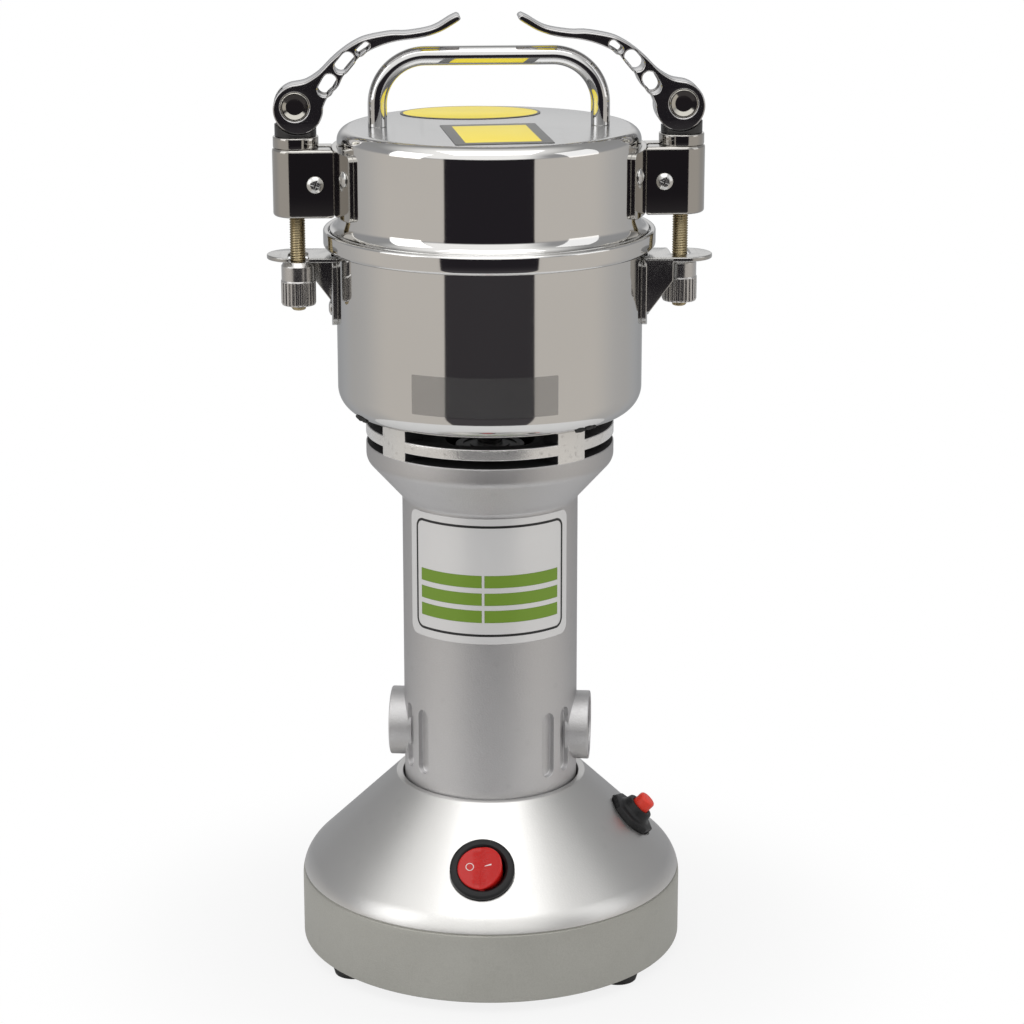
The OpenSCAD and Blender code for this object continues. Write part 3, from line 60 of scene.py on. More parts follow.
# shape tools; outlines are lists of (x, y) or (x, y, corner radius) in millimetres
def roundOff(corners, steps=5):
    points = []
    for i, corner in enumerate(corners):
        radius = corner[2] if len(corner) > 2 else 0
        tip = Vector(corner[:2])
        if radius <= 0:
            points.append((tip.x, tip.y))
            continue
        back = (Vector(corners[i - 1][:2]) - tip).normalized()
        ahead = (Vector(corners[(i + 1) % len(corners)][:2]) - tip).normalized()
        half = back.angle(ahead) / 2
        centre = tip + (back + ahead).normalized() * (radius / math.sin(half))
        first = tip + back * (radius / math.tan(half)) - centre
        last = tip + ahead * (radius / math.tan(half)) - centre
        start = math.atan2(first.y, first.x)
        sweep = (math.atan2(last.y, last.x) - start + math.pi) % fullTurn - math.pi
        for k in range(steps + 1):
            angle = start + sweep * k / steps
            points.append((centre.x + radius * math.cos(angle), centre.y + radius * math.sin(angle)))
    return points


def arcPoints(x, y, radius, first, last, steps):
    angles = [math.radians(first + (last - first) * k / steps) for k in range(steps + 1)]
    return [(x + radius * math.cos(angle), y + radius * math.sin(angle)) for angle in angles]


def longHole(length, width, steps=12):
    # a hole with round ends, lying along X
    straight = (length - width) / 2
    return (arcPoints(straight, 0, width / 2, -90, 90, steps)
            + arcPoints(-straight, 0, width / 2, 90, 270, steps))


def smoothLine(points, steps=6):
    # a smooth open line through all the points
    last = len(points) - 1
    line = []
    for i in range(last):
        a, b, c, d = [Vector(points[min(max(i + k, 0), last)]) for k in (-1, 0, 1, 2)]
        for k in range(steps):
            t = k / steps
            line.append(tuple(0.5 * (2 * b + (c - a) * t + (2 * a - 5 * b + 4 * c - d) * t * t
                                     + (3 * b - a - 3 * c + d) * t ** 3)))
    return line + [tuple(points[-1])]


def spot(radius, angle, z):
    return Vector((radius * math.cos(angle), radius * math.sin(angle), z)) * mm


def sealed(bm, weld=1e-7):
    # welds points that fall together and turns all faces outwards
    bmesh.ops.remove_doubles(bm, verts=bm.verts, dist=weld)
    bmesh.ops.recalc_face_normals(bm, faces=bm.faces)
    return bm


def bridged(bm, rings, closed=True):
    # faces between each row of points and the next
    for here, there in zip(rings, rings[1:]):
        for k in range(len(here) if closed else len(here) - 1):
            j = (k + 1) % len(here)
            bm.faces.new((here[k], here[j], there[j], there[k]))


def turnAround(outline, steps=192, radiusAt=None):
    # revolves a closed outline of (radius, height) round the Z axis
    bm = bmesh.new()
    rings = []
    for i in range(steps):
        angle = fullTurn * i / steps
        rings.append([bm.verts.new(spot(radiusAt(k, angle, r) if radiusAt else r, angle, z))
                      for k, (r, z) in enumerate(outline)])
    for here, there in zip(rings, rings[1:] + rings[:1]):
        for k in range(len(outline)):
            j = (k + 1) % len(outline)
            if outline[k][0] > 1e-6 or outline[j][0] > 1e-6:  # a line on the axis makes no face
                bm.faces.new((here[k], there[k], there[j], here[j]))
    return sealed(bm)


def drum(radius, low, high, steps=96):
    return turnAround([(0, low), (radius, low), (radius, high), (0, high)], steps)


def flatPlate(outer, holes=(), thick=1.0, edge=0.2, edgeSteps=2):
    # a plate in the XY plane, its middle on z = 0, with rounded edges
    curve = bpy.data.curves.new("plateLine", "CURVE")
    curve.dimensions = "2D"
    curve.fill_mode = "BOTH"
    curve.extrude = (thick / 2 - edge) * mm
    curve.bevel_depth = edge * mm
    curve.bevel_resolution = edgeSteps
    curve.offset = -edge * mm
    for loop in [outer, *holes]:
        spline = curve.splines.new("POLY")
        spline.points.add(len(loop) - 1)
        for point, place in zip(spline.points, loop):
            point.co = (place[0] * mm, place[1] * mm, 0, 1)
        spline.use_cyclic_u = True
    drawn = bpy.data.objects.new("plateLine", curve)
    bpy.context.scene.collection.objects.link(drawn)
    bpy.context.view_layer.update()
    mesh = bpy.data.meshes.new_from_object(drawn.evaluated_get(bpy.context.evaluated_depsgraph_get()))
    bm = bmesh.new()
    bm.from_mesh(mesh)
    bpy.data.objects.remove(drawn)
    bpy.data.curves.remove(curve)
    bpy.data.meshes.remove(mesh)
    return sealed(bm, weld=2e-6)


def bentPlate(width, low, high, corner, inner, outer, centre=0.0, steps=40, cornerSteps=8):
    # a sheet bent round the Z axis, width in degrees, centre in degrees from the front
    bm = bmesh.new()
    reach = math.radians(width / 2) * outer
    stops = ([reach - corner + corner * math.sin(math.pi / 2 * k / cornerSteps) for k in range(cornerSteps + 1)]
             + [reach * k / steps for k in range(steps + 1)])
    stops = sorted({round(s, 4) for s in stops if s <= reach})
    stops = [-s for s in reversed(stops) if s > 0] + stops
    columns = []
    for s in stops:
        left = corner - (reach - abs(s))
        cutBack = corner - math.sqrt(max(corner ** 2 - left ** 2, 0)) if left > 0 else 0
        angle = math.radians(centre - 90) + s / outer
        columns.append([bm.verts.new((r * math.cos(angle) * mm, r * math.sin(angle) * mm, z * mm))
                        for r in (inner, outer) for z in (low + cutBack, high - cutBack)])
    for here, there in zip(columns, columns[1:]):
        for a, b in ((0, 1), (1, 3), (3, 2), (2, 0)):
            bm.faces.new((here[a], here[b], there[b], there[a]))
    for column in (columns[0], columns[-1]):
        bm.faces.new((column[0], column[1], column[3], column[2]))
    return sealed(bm)


def tubeAlong(path, radius, sides=32):
    bm = bmesh.new()
    path = [Vector(p) for p in path]
    side = Vector((0, 1, 0))
    rings = []
    for i, point in enumerate(path):
        ahead = (path[min(i + 1, len(path) - 1)] - path[max(i - 1, 0)]).normalized()
        across = ahead.cross(side).normalized()
        over = across.cross(ahead).normalized()
        angles = [fullTurn * k / sides for k in range(sides)]
        rings.append([bm.verts.new((point + radius * (across * math.cos(a) + over * math.sin(a))) * mm)
                      for a in angles])
    bridged(bm, rings)
    bm.faces.new(rings[0])
    bm.faces.new(rings[-1])
    return sealed(bm)


def blockShape(size, place=(0, 0, 0)):
    bm = bmesh.new()
    bmesh.ops.create_cube(bm, size=1)
    return moved(bm, shift(*place) @ stretch(*size))


def moved(bm, matrix):
    bm.transform(matrix)
    return bm


def shift(x, y, z):
    return Matrix.Translation((x * mm, y * mm, z * mm))


def turn(degrees, axis="Z"):
    return Matrix.Rotation(math.radians(degrees), 4, axis)


def stretch(x, y, z):
    return Matrix.Diagonal((x * mm, y * mm, z * mm, 1))


def joined(*shapes):
    first = shapes[0]
    for other in shapes[1:]:
        mesh = bpy.data.meshes.new("part")
        other.to_mesh(mesh)
        first.from_mesh(mesh)
        bpy.data.meshes.remove(mesh)
        other.free()
    return first


def asObject(name, bm):
    mesh = bpy.data.meshes.new(name)
    bm.to_mesh(mesh)
    bm.free()
    obj = bpy.data.objects.new(name, mesh)
    bpy.context.scene.collection.objects.link(obj)
    return obj


def carved(shape, *cutters, how="DIFFERENCE"):
    # cuts the cutters out of the shape one by one, or adds them to it with "UNION"
    for cutter in cutters:
        obj, tool = asObject("shape", shape), asObject("cutter", cutter)
        step = obj.modifiers.new("carve", "BOOLEAN")
        step.operation = how
        step.solver = "EXACT"
        step.object = tool
        bpy.context.view_layer.update()
        mesh = bpy.data.meshes.new_from_object(obj.evaluated_get(bpy.context.evaluated_depsgraph_get()))
        shape = bmesh.new()
        shape.from_mesh(mesh)
        bpy.data.meshes.remove(mesh)
        bpy.data.objects.remove(obj)
        bpy.data.objects.remove(tool)
    return shape


def finishPiece(name, shape, body, finishNames, node, sharp=32, pick=None):
    # finishNames holds one finish or more; pick says which of them a face takes
    obj = asObject(name, shape)
    for finishName in finishNames.split():
        obj.data.materials.append(finishes[finishName])
    if pick:
        for face in obj.data.polygons:
            face.material_index = pick(face.center / mm, face.normal)
    obj.data.shade_smooth()
    obj.data.set_sharp_from_angle(angle=math.radians(sharp))
    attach(obj, body)
    if node:
        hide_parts(node)


# effects that several finishes share
def addNode(tree, kind, given=None, **settings):
    # given holds plain values, or outputs of other nodes to be linked
    node = tree.nodes.new(kind)
    for key, value in settings.items():
        setattr(node, key, value)
    for key, value in (given or {}).items():
        socket = node.inputs[key]
        if isinstance(value, bpy.types.NodeSocket):
            tree.links.new(value, socket)
        elif socket.type == "RGBA":
            socket.default_value = (*value, 1)
        else:
            socket.default_value = value
    return node


def sums(tree, how, first, second=None, clamp=False):
    given = {0: first} if second is None else {0: first, 1: second}
    return addNode(tree, "ShaderNodeMath", given, operation=how, use_clamp=clamp).outputs[0]


def between(tree, value, start, end, low=0.0, high=1.0, how="LINEAR"):
    # runs from low to high while the value runs from start to end
    given = {"Value": value, "From Min": start, "From Max": end, "To Min": low, "To Max": high}
    return addNode(tree, "ShaderNodeMapRange", given, interpolation_type=how).outputs["Result"]


def blendColours(tree, first, second, mask):
    return addNode(tree, "ShaderNodeMix", {0: mask, 6: first, 7: second}, data_type="RGBA").outputs[2]


def newEffect(name, inputs, outputs):
    group = bpy.data.node_groups.new(name, "ShaderNodeTree")
    for label, kind, value in inputs:
        group.interface.new_socket(name=label, in_out="INPUT", socket_type=kind).default_value = value
    for label, kind in outputs:
        group.interface.new_socket(name=label, in_out="OUTPUT", socket_type=kind)
    return group, group.nodes.new("NodeGroupInput").outputs, group.nodes.new("NodeGroupOutput").inputs


def objectPlace(tree):
    return addNode(tree, "ShaderNodeTexCoord").outputs["Object"]


def grainEffect():
    # noise stretched by the Stretch vector: cast skin, brushing or wire lines
    group, given, out = newEffect(
        "surfaceGrain",
        [("Stretch", "NodeSocketVector", (1, 1, 1)), ("Fineness", "NodeSocketFloat", 900.0),
         ("Contrast", "NodeSocketFloat", 1.6)],
        [("Mask", "NodeSocketFloat")])
    scale = addNode(group, "ShaderNodeVectorMath", {0: objectPlace(group), 1: given["Stretch"]},
                    operation="MULTIPLY")
    noise = addNode(group, "ShaderNodeTexNoise", {"Vector": scale.outputs[0], "Scale": given["Fineness"],
                                                  "Detail": 4, "Roughness": 0.62})
    centred = sums(group, "SUBTRACT", noise.outputs["Fac"], 0.5)
    spread = sums(group, "MULTIPLY", centred, given["Contrast"])
    group.links.new(sums(group, "ADD", spread, 0.5, True), out["Mask"])
    return group


def scratchEffect():
    # fine scratches in two directions and a few small pits
    group, given, out = newEffect(
        "handlingMarks",
        [("Density", "NodeSocketFloat", 60.0), ("Amount", "NodeSocketFloat", 0.5)],
        [("Mask", "NodeSocketFloat"), ("Pits", "NodeSocketFloat")])
    place = objectPlace(group)
    marks = []
    for angle, pull in ((0.5, (1, 0.04, 0.6)), (-0.9, (0.05, 1, 0.5))):
        turned = addNode(group, "ShaderNodeMapping", {
            "Vector": place, "Rotation": (angle, angle * 0.7, angle * 1.3), "Scale": pull})
        noise = addNode(group, "ShaderNodeTexNoise", {
            "Vector": turned.outputs[0], "Scale": sums(group, "MULTIPLY", given["Density"], 18.0), "Detail": 3})
        marks.append(between(group, noise.outputs["Fac"], 0.62, 0.72))
    both = sums(group, "MAXIMUM", marks[0], marks[1])
    dots = addNode(group, "ShaderNodeTexVoronoi", {
        "Vector": place, "Scale": sums(group, "MULTIPLY", given["Density"], 5.0)}, feature="F1")
    near = between(group, dots.outputs["Distance"], 0.17, 0.09)
    group.links.new(sums(group, "MULTIPLY", both, given["Amount"], True), out["Mask"])
    group.links.new(sums(group, "MULTIPLY", near, given["Amount"], True), out["Pits"])
    return group


def smudgeEffect():
    group, given, out = newEffect(
        "softSmudges", [("Size", "NodeSocketFloat", 18.0)], [("Mask", "NodeSocketFloat")])
    noise = addNode(group, "ShaderNodeTexNoise", {
        "Vector": objectPlace(group), "Scale": given["Size"], "Detail": 5, "Distortion": 0.6})
    group.links.new(between(group, noise.outputs["Fac"], 0.35, 0.68), out["Mask"])
    return group


def edgeEffect():
    # where the bevelled normal leaves the true one, the edge is lightened: partly wear, partly a painted edge
    # highlight
    group, given, out = newEffect(
        "wornEdgesAndHighlight",
        [("Width", "NodeSocketFloat", 0.0004), ("Amount", "NodeSocketFloat", 0.6)],
        [("Mask", "NodeSocketFloat"), ("Rounded", "NodeSocketVector")])
    rounded = addNode(group, "ShaderNodeBevel", {"Radius": given["Width"]}, samples=6).outputs[0]
    true = addNode(group, "ShaderNodeNewGeometry").outputs["Normal"]
    dot = addNode(group, "ShaderNodeVectorMath", {0: rounded, 1: true}, operation="DOT_PRODUCT")
    away = sums(group, "MULTIPLY", sums(group, "SUBTRACT", 1.0, dot.outputs["Value"]), 5.0, True)
    group.links.new(sums(group, "MULTIPLY", away, given["Amount"], True), out["Mask"])
    group.links.new(rounded, out["Rounded"])
    return group


effects = {"grain": grainEffect(), "marks": scratchEffect(), "smudges": smudgeEffect(), "edges": edgeEffect()}


def useEffect(tree, name, **values):
    return addNode(tree, "ShaderNodeGroup", values, node_tree=effects[name]).outputs


usualFinish = {
    "colour": (0.6, 0.6, 0.6), "second": None, "darker": 0.82,  # without a second colour, the first is darkened
    "tint": None,  # what the mirror part turns to at a flat angle
    "metallic": 1.0, "rough": (0.2, 0.3), "ior": 1.5, "coat": 0.0, "coatRough": 0.06, "clear": 0.0, "alpha": None,
    "stretch": (1, 1, 1), "fine": 900.0, "contrast": 1.6, "grainTint": 0.0, "bump": 0.05, "depth": 0.0001,
    "smudge": 0.3, "smudgeSize": 18.0, "marks": 0.3, "markDensity": 60.0, "markColour": None, "markRough": 0.15,
    "markDepth": 0.5, "pits": 0.0, "pitShade": 0.35,
    "edge": 0.5, "edgeWidth": 0.0003, "edgeColour": None, "edgeGain": 1.25, "edgeLift": 0.05, "rounded": True,
    "wave": None,  # stripes: direction, scale, distortion, darkest share of the colour, height
}


def dimmed(colour, share):
    return tuple(c * share for c in colour)


def makeFinish(name, **look):
    look = {**usualFinish, **look}
    finish = bpy.data.materials.new(name)
    finish.use_nodes = True
    tree = finish.node_tree
    shader = tree.nodes["Principled BSDF"].inputs
    grain = useEffect(tree, "grain", Stretch=look["stretch"], Fineness=look["fine"],
                      Contrast=look["contrast"])["Mask"]
    marks = useEffect(tree, "marks", Density=look["markDensity"], Amount=look["marks"])
    smudges = useEffect(tree, "smudges", Size=look["smudgeSize"])["Mask"]
    edges = useEffect(tree, "edges", Width=look["edgeWidth"], Amount=look["edge"])
    second = look["second"] or dimmed(look["colour"], look["darker"])
    mask = sums(tree, "MULTIPLY", smudges, look["smudge"])
    if look["grainTint"]:
        mask = sums(tree, "ADD", mask, sums(tree, "MULTIPLY", grain, look["grainTint"]), True)
    colour = blendColours(tree, look["colour"], second, mask)
    if look["wave"]:
        # stripes across the object: wire turns, sheet edges or ribs
        direction, scale, distortion, darkest, ridge = look["wave"]
        wave = addNode(tree, "ShaderNodeTexWave", {
            "Vector": objectPlace(tree), "Scale": scale, "Distortion": distortion},
            bands_direction=direction).outputs["Fac"]
        colour = blendColours(tree, colour, dimmed(second, darkest), wave)
    if look["pits"]:
        colour = blendColours(tree, colour, dimmed(second, look["pitShade"]),
                              sums(tree, "MULTIPLY", marks["Pits"], look["pits"]))
    # edges lightened: partly wear, partly a painted highlight along them
    if look["edge"]:
        edgeWearAndHighlight = look["edgeColour"] or tuple(min(1, c * look["edgeGain"] + look["edgeLift"]) for c in look["colour"])
        colour = blendColours(tree, colour, edgeWearAndHighlight, edges["Mask"])
    if look["markColour"]:
        colour = blendColours(tree, colour, look["markColour"], marks["Mask"])
    tree.links.new(colour, shader["Base Color"])
    uneven = sums(tree, "MULTIPLY", sums(tree, "ADD", smudges, grain), 0.5)
    rough = sums(tree, "ADD", between(tree, uneven, 0.0, 1.0, *look["rough"]),
                 sums(tree, "MULTIPLY", marks["Mask"], look["markRough"]), True)
    tree.links.new(rough, shader["Roughness"])
    cuts = sums(tree, "ADD", sums(tree, "MULTIPLY", marks["Mask"], look["markDepth"]),
                sums(tree, "MULTIPLY", marks["Pits"], look["pits"]))
    height = sums(tree, "SUBTRACT", grain, cuts)
    if look["wave"]:
        height = sums(tree, "ADD", height, sums(tree, "MULTIPLY", wave, ridge))
    bump = addNode(tree, "ShaderNodeBump", {"Strength": look["bump"], "Distance": look["depth"], "Height": height})
    if look["rounded"]:
        tree.links.new(edges["Rounded"], bump.inputs["Normal"])
    tree.links.new(bump.outputs[0], shader["Normal"])
    shader["Metallic"].default_value = look["metallic"]
    shader["IOR"].default_value = look["ior"]
    shader["Coat Weight"].default_value = look["coat"]
    shader["Coat Roughness"].default_value = look["coatRough"]
    shader["Transmission Weight"].default_value = look["clear"]
    if look["tint"]:
        shader["Specular Tint"].default_value = (*look["tint"], 1)
    if look["alpha"] is not None:
        shader["Alpha"].default_value = look["alpha"]
    return finish


looks = {
    # bright castings
    "satinCone": dict(colour=(0.86, 0.855, 0.84), second=(0.78, 0.775, 0.76), tint=(0.62, 0.62, 0.63),
        rough=(0.3, 0.38), fine=1500.0, contrast=2.2, bump=0.16, smudge=0.35, marks=0.12, markDensity=22.0,
        pits=0.25, edge=0.2),
    # the cone's paint, darker and tinted on the side wall below the crease: painted shade
    "castWall": dict(colour=(0.58, 0.575, 0.535), second=(0.46, 0.455, 0.42), rough=(0.5, 0.62), fine=1900.0,
        contrast=2.6, grainTint=0.25, bump=0.5, smudge=0.35, marks=0.1, markDensity=26.0, pits=0.5, edge=0.3),
    "castTube": dict(colour=(0.74, 0.735, 0.74), second=(0.65, 0.645, 0.65), tint=(0.6, 0.6, 0.6),
        rough=(0.42, 0.52), fine=1700.0, contrast=2.4, grainTint=0.15, bump=0.4, smudge=0.35, marks=0.12,
        markDensity=24.0, pits=0.35, edge=0.35),
    "machinedRing": dict(colour=(0.95, 0.94, 0.92), second=(0.8, 0.79, 0.77), metallic=0.75, rough=(0.12, 0.26),
        stretch=(1, 1, 6), fine=420.0, contrast=2.4, grainTint=0.2, bump=0.3, marks=0.45, markDensity=40.0,
        markColour=(0.5, 0.49, 0.48), pits=0.4, edge=0.4),
    # polished sheet and bright steel
    "mirrorSheet": dict(colour=(0.88, 0.875, 0.865), second=(0.82, 0.815, 0.805), tint=(0.7, 0.7, 0.7),
        rough=(0.035, 0.075), stretch=(1, 1, 0.06), fine=260.0, contrast=1.4, bump=0.012, smudge=0.5,
        smudgeSize=11.0, marks=0.1, markDensity=14.0, edge=0.1),
    "lidTop": dict(colour=(0.56, 0.56, 0.56), second=(0.52, 0.52, 0.52), rough=(0.16, 0.22),
        stretch=(0.06, 1, 1), fine=500.0, bump=0.03, smudge=0.4, marks=0.2, markDensity=16.0, edge=0.1),
    "stampedSteel": dict(colour=(0.60, 0.595, 0.58), second=(0.5, 0.495, 0.48), rough=(0.14, 0.26), fine=700.0,
        bump=0.08, smudge=0.5, marks=0.5, markDensity=50.0, edge=0.7, edgeWidth=0.00035),
    "polishedBlock": dict(colour=(0.56, 0.545, 0.52), second=(0.5, 0.485, 0.46), rough=(0.045, 0.09),
        fine=500.0, bump=0.02, smudge=0.4, marks=0.12, edge=0.4, edgeWidth=0.0004),
    "chromeRod": dict(colour=(0.8, 0.8, 0.8), second=(0.74, 0.74, 0.745), rough=(0.03, 0.06), fine=400.0,
        bump=0.01, marks=0.1, edge=0.1),
    # near-white edges: painted highlight along the lever's chamfers, partly bare-steel wear
    "leverSteel": dict(colour=(0.62, 0.61, 0.61), second=(0.55, 0.54, 0.545), rough=(0.11, 0.17), smudge=0.4,
        marks=0.25, markDensity=50.0, edgeColour=(0.9, 0.9, 0.9)),
    "pinSteel": dict(colour=(0.70, 0.68, 0.62), second=(0.62, 0.6, 0.54), rough=(0.05, 0.1), fine=600.0,
        bump=0.02, smudge=0.4, marks=0.2, edge=0.3),
    "threadZinc": dict(colour=(0.50, 0.42, 0.26), second=(0.34, 0.27, 0.15), rough=(0.24, 0.36), fine=1200.0,
        bump=0.1, smudge=0.7, edge=0.0, rounded=False),
    "nutNickel": dict(colour=(0.74, 0.73, 0.72), second=(0.62, 0.61, 0.6), rough=(0.18, 0.3), bump=0.08,
        smudge=0.4, marks=0.4, edge=0.6, edgeWidth=0.0002),
    "screwZinc": dict(colour=(0.78, 0.78, 0.77), second=(0.6, 0.6, 0.58), rough=(0.16, 0.3), fine=1200.0,
        bump=0.1, smudge=0.6, marks=0.5, edge=0.6, edgeWidth=0.0002),
    # plastics and rubber
    "bezelBlack": dict(colour=(0.012, 0.012, 0.013), second=(0.018, 0.018, 0.019), metallic=0.0,
        rough=(0.36, 0.5), ior=1.36, fine=2200.0, bump=0.12, marks=0.15, edge=0.15,
        edgeColour=(0.04, 0.04, 0.04)),
    "rubberBlack": dict(colour=(0.018, 0.018, 0.018), second=(0.035, 0.034, 0.033), metallic=0.0,
        rough=(0.55, 0.75), fine=1600.0, bump=0.3, edge=0.3, edgeColour=(0.06, 0.06, 0.058)),
    "padBlack": dict(colour=(0.02, 0.019, 0.019), second=(0.03, 0.029, 0.029), metallic=0.0, rough=(0.25, 0.4),
        fine=1500.0, bump=0.15, marks=0.2, edge=0.3, edgeColour=(0.05, 0.05, 0.05)),
    "rockerRed": dict(colour=(0.56, 0.012, 0.010), second=(0.36, 0.006, 0.005), metallic=0.0,
        rough=(0.14, 0.24), ior=1.4, clear=0.1, bump=0.03, marks=0.1, edge=0.3, edgeColour=(0.85, 0.06, 0.04)),
    "buttonRed": dict(colour=(0.72, 0.035, 0.015), second=(0.58, 0.022, 0.012), metallic=0.0, rough=(0.35, 0.5),
        fine=1500.0, bump=0.1, marks=0.15, edge=0.3, edgeColour=(0.85, 0.12, 0.06)),
    "whiteInk": dict(colour=(0.86, 0.78, 0.76), second=(0.74, 0.62, 0.6), metallic=0.0, rough=(0.4, 0.55),
        fine=1500.0, bump=0.1, marks=0.1, edge=0.0),
    "sealWhite": dict(colour=(0.72, 0.72, 0.70), second=(0.62, 0.62, 0.6), metallic=0.0, rough=(0.4, 0.55),
        fine=1200.0, bump=0.1, marks=0.1, edge=0.0),
    # plates and stickers
    "plateFoil": dict(colour=(0.74, 0.735, 0.73), second=(0.66, 0.655, 0.65), metallic=0.35, rough=(0.34, 0.46),
        stretch=(1, 1, 0.1), bump=0.03, smudge=0.5, marks=0.06, edge=0.2),
    "plateInk": dict(colour=(0.016, 0.016, 0.017), second=(0.03, 0.03, 0.03), metallic=0.0, rough=(0.3, 0.45),
        bump=0.03, marks=0.05, edge=0.0),
    "plateGreen": dict(colour=(0.165, 0.285, 0.024), second=(0.14, 0.245, 0.02), metallic=0.1,
        rough=(0.3, 0.42), bump=0.03, marks=0.05, edge=0.0),
    "stickerYellow": dict(colour=(1.0, 0.81, 0.034), second=(0.95, 0.73, 0.024), metallic=0.0,
        rough=(0.3, 0.45), smudge=0.4, marks=0.1, edge=0.1, edgeColour=(0.8, 0.7, 0.2)),
    "stickerGrey": dict(colour=(0.14, 0.14, 0.14), second=(0.19, 0.19, 0.19), metallic=0.3, rough=(0.3, 0.45),
        marks=0.1, edge=0.0),
    # motor parts behind the housing
    # near-black bearing: painted shade seen through the vents
    "bearingPaintedShade": dict(colour=(0.06, 0.06, 0.062), second=(0.03, 0.03, 0.031), rough=(0.3, 0.5), bump=0.2,
        marks=0.2),
    "laminations": dict(colour=(0.3, 0.31, 0.33), second=(0.2, 0.2, 0.22), rough=(0.35, 0.5), bump=0.4,
        wave=("Z", 320.0, 0.0, 0.6, 1.0)),
    "copperWire": dict(colour=(0.66, 0.27, 0.09), second=(0.42, 0.15, 0.05), rough=(0.25, 0.4), coat=0.5,
        bump=0.6, marks=0.2, wave=("Z", 240.0, 1.2, 0.5, 1.0)),
    "commutatorCopper": dict(colour=(0.72, 0.36, 0.16), second=(0.5, 0.22, 0.1), rough=(0.2, 0.35),
        stretch=(1, 1, 8), fine=500.0, bump=0.2, marks=0.4),
    "carbonBlock": dict(colour=(0.035, 0.035, 0.036), second=(0.06, 0.06, 0.06), metallic=0.1, rough=(0.5, 0.7),
        fine=1600.0, bump=0.3),
    "springBrass": dict(colour=(0.7, 0.52, 0.22), second=(0.5, 0.36, 0.14), rough=(0.2, 0.32), bump=0.8,
        wave=("X", 420.0, 0.0, 0.4, 1.0)),
    "holderBrown": dict(colour=(0.16, 0.075, 0.035), second=(0.1, 0.045, 0.02), metallic=0.0, rough=(0.35, 0.5),
        bump=0.15, marks=0.2),
    "bearingSteel": dict(colour=(0.68, 0.68, 0.68), second=(0.55, 0.55, 0.55), rough=(0.12, 0.24),
        stretch=(1, 1, 6), fine=500.0, bump=0.1),
    "bladeSteel": dict(colour=(0.66, 0.66, 0.66), second=(0.54, 0.54, 0.54), rough=(0.16, 0.3),
        stretch=(0.1, 1, 1), fine=600.0, bump=0.12, marks=0.5, edge=0.8),
    "fanBlack": dict(colour=(0.05, 0.05, 0.052), second=(0.075, 0.075, 0.078), metallic=0.0, rough=(0.4, 0.55),
        fine=1200.0, bump=0.15, marks=0.2),
    "coverBlack": dict(colour=(0.04, 0.04, 0.042), second=(0.06, 0.06, 0.062), metallic=0.0, rough=(0.45, 0.62),
        fine=1800.0, bump=0.35, edge=0.4),
    # near black: painted shade on the faces inside the vents
    "ventShade": dict(colour=(0.012, 0.012, 0.013), second=(0.02, 0.02, 0.021), metallic=0.0, rough=(0.6, 0.8),
        fine=1500.0, bump=0.2, marks=0.2, edge=0.0),
    "rawCasting": dict(colour=(0.58, 0.58, 0.57), second=(0.46, 0.46, 0.45), rough=(0.42, 0.6), fine=1300.0,
        grainTint=0.2, bump=0.5, marks=0.2, pits=0.4),
    # thin, so that the bowl shows through it
    "clearFilm": dict(colour=(0.13, 0.13, 0.13), second=(0.1, 0.1, 0.1), metallic=0.0, rough=(0.12, 0.22),
        alpha=0.15, fine=160.0, marks=0.2, markDensity=20.0, edge=0.0, rounded=False),
}
finishes = {name: makeFinish(name, **look) for name, look in looks.items()}
print("finishes made:", len(finishes))

# CAD pieces that stay, with their finishes
keptNodes = {
    "base_cover": "coverBlack", "cover_screws": "screwZinc", "breaker_body": "bezelBlack",
    "housing_screws": "screwZinc", "brush_holders": "holderBrown", "carbon_brushes": "carbonBlock",
    "brush_springs": "springBrass", "stator_core": "laminations", "field_coils": "copperWire",
    "stator_screws": "screwZinc", "bearing_bridge": "rawCasting", "lower_bearing": "bearingSteel",
    "upper_bearing": "bearingPaintedShade", "motor_shaft": "bearingSteel", "armature_core": "laminations",
    "armature_windings": "copperWire", "commutator": "commutatorCopper", "cooling_fan": "fanBlack",
    "blade_spacers": "bearingSteel", "lower_blade": "bladeSteel", "upper_blade": "bladeSteel",
    "blade_nut": "screwZinc", "bowl_screws": "screwZinc", "shaft_seal": "rubberBlack", "lid_seal": "sealWhite",
    "handle_screws": "screwZinc",
}
for nodeName, look in keptNodes.items():
    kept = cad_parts[nodeName]
    kept.data.materials.clear()
    kept.data.materials.append(finishes[look])
print("kept CAD pieces dressed:", len(keptNodes))

base = {
    "radius": 62.5, "low": 3.5, "wallTop": 23.5, "wall": 3.0, "shoulder": 12.0, "slope": 44.0,
    "topRadius": 31.05, "topHeight": 58.965, "neck": 28.85, "bore": 19.0, "ledgeTop": 50.965, "ledgeLow": 46.965,
    "ledgeOut": 32.85, "roof": 53.2, "crease": 26.4, "creaseDepth": 0.55, "creaseWidth": 0.8, "creaseFloor": 0.12,
    "footCorner": 0.5, "topCorner": 0.7, "neckCorner": 0.4, "wallFaces": 59.6, "turn": -6.0, "steps": 256,
    "switchRun": 23.6, "breakerRun": 21.5, "breakerTurn": 82.0, "cordHeight": 15.5,  # where the openings sit
    "openings": {"switch": (10.45, 0.8, 8.95), "breaker": (8.65, 0.8, 4.85), "cord": (7.7, 1.85, 5.55)},
    "cutOut": 6.0, "cutIn": 9.0,  # the openings give seat radius, seat depth and hole radius
}
shoulderRadius = base["radius"] - base["shoulder"]
innerShoulder = base["shoulder"] - base["wall"]
slope = math.radians(base["slope"])
creaseRise = base["crease"] - base["wallTop"]
creaseTurn = math.degrees(math.asin(creaseRise / base["shoulder"]))
creaseHalf = math.degrees(base["creaseWidth"] / 2 / base["shoulder"])
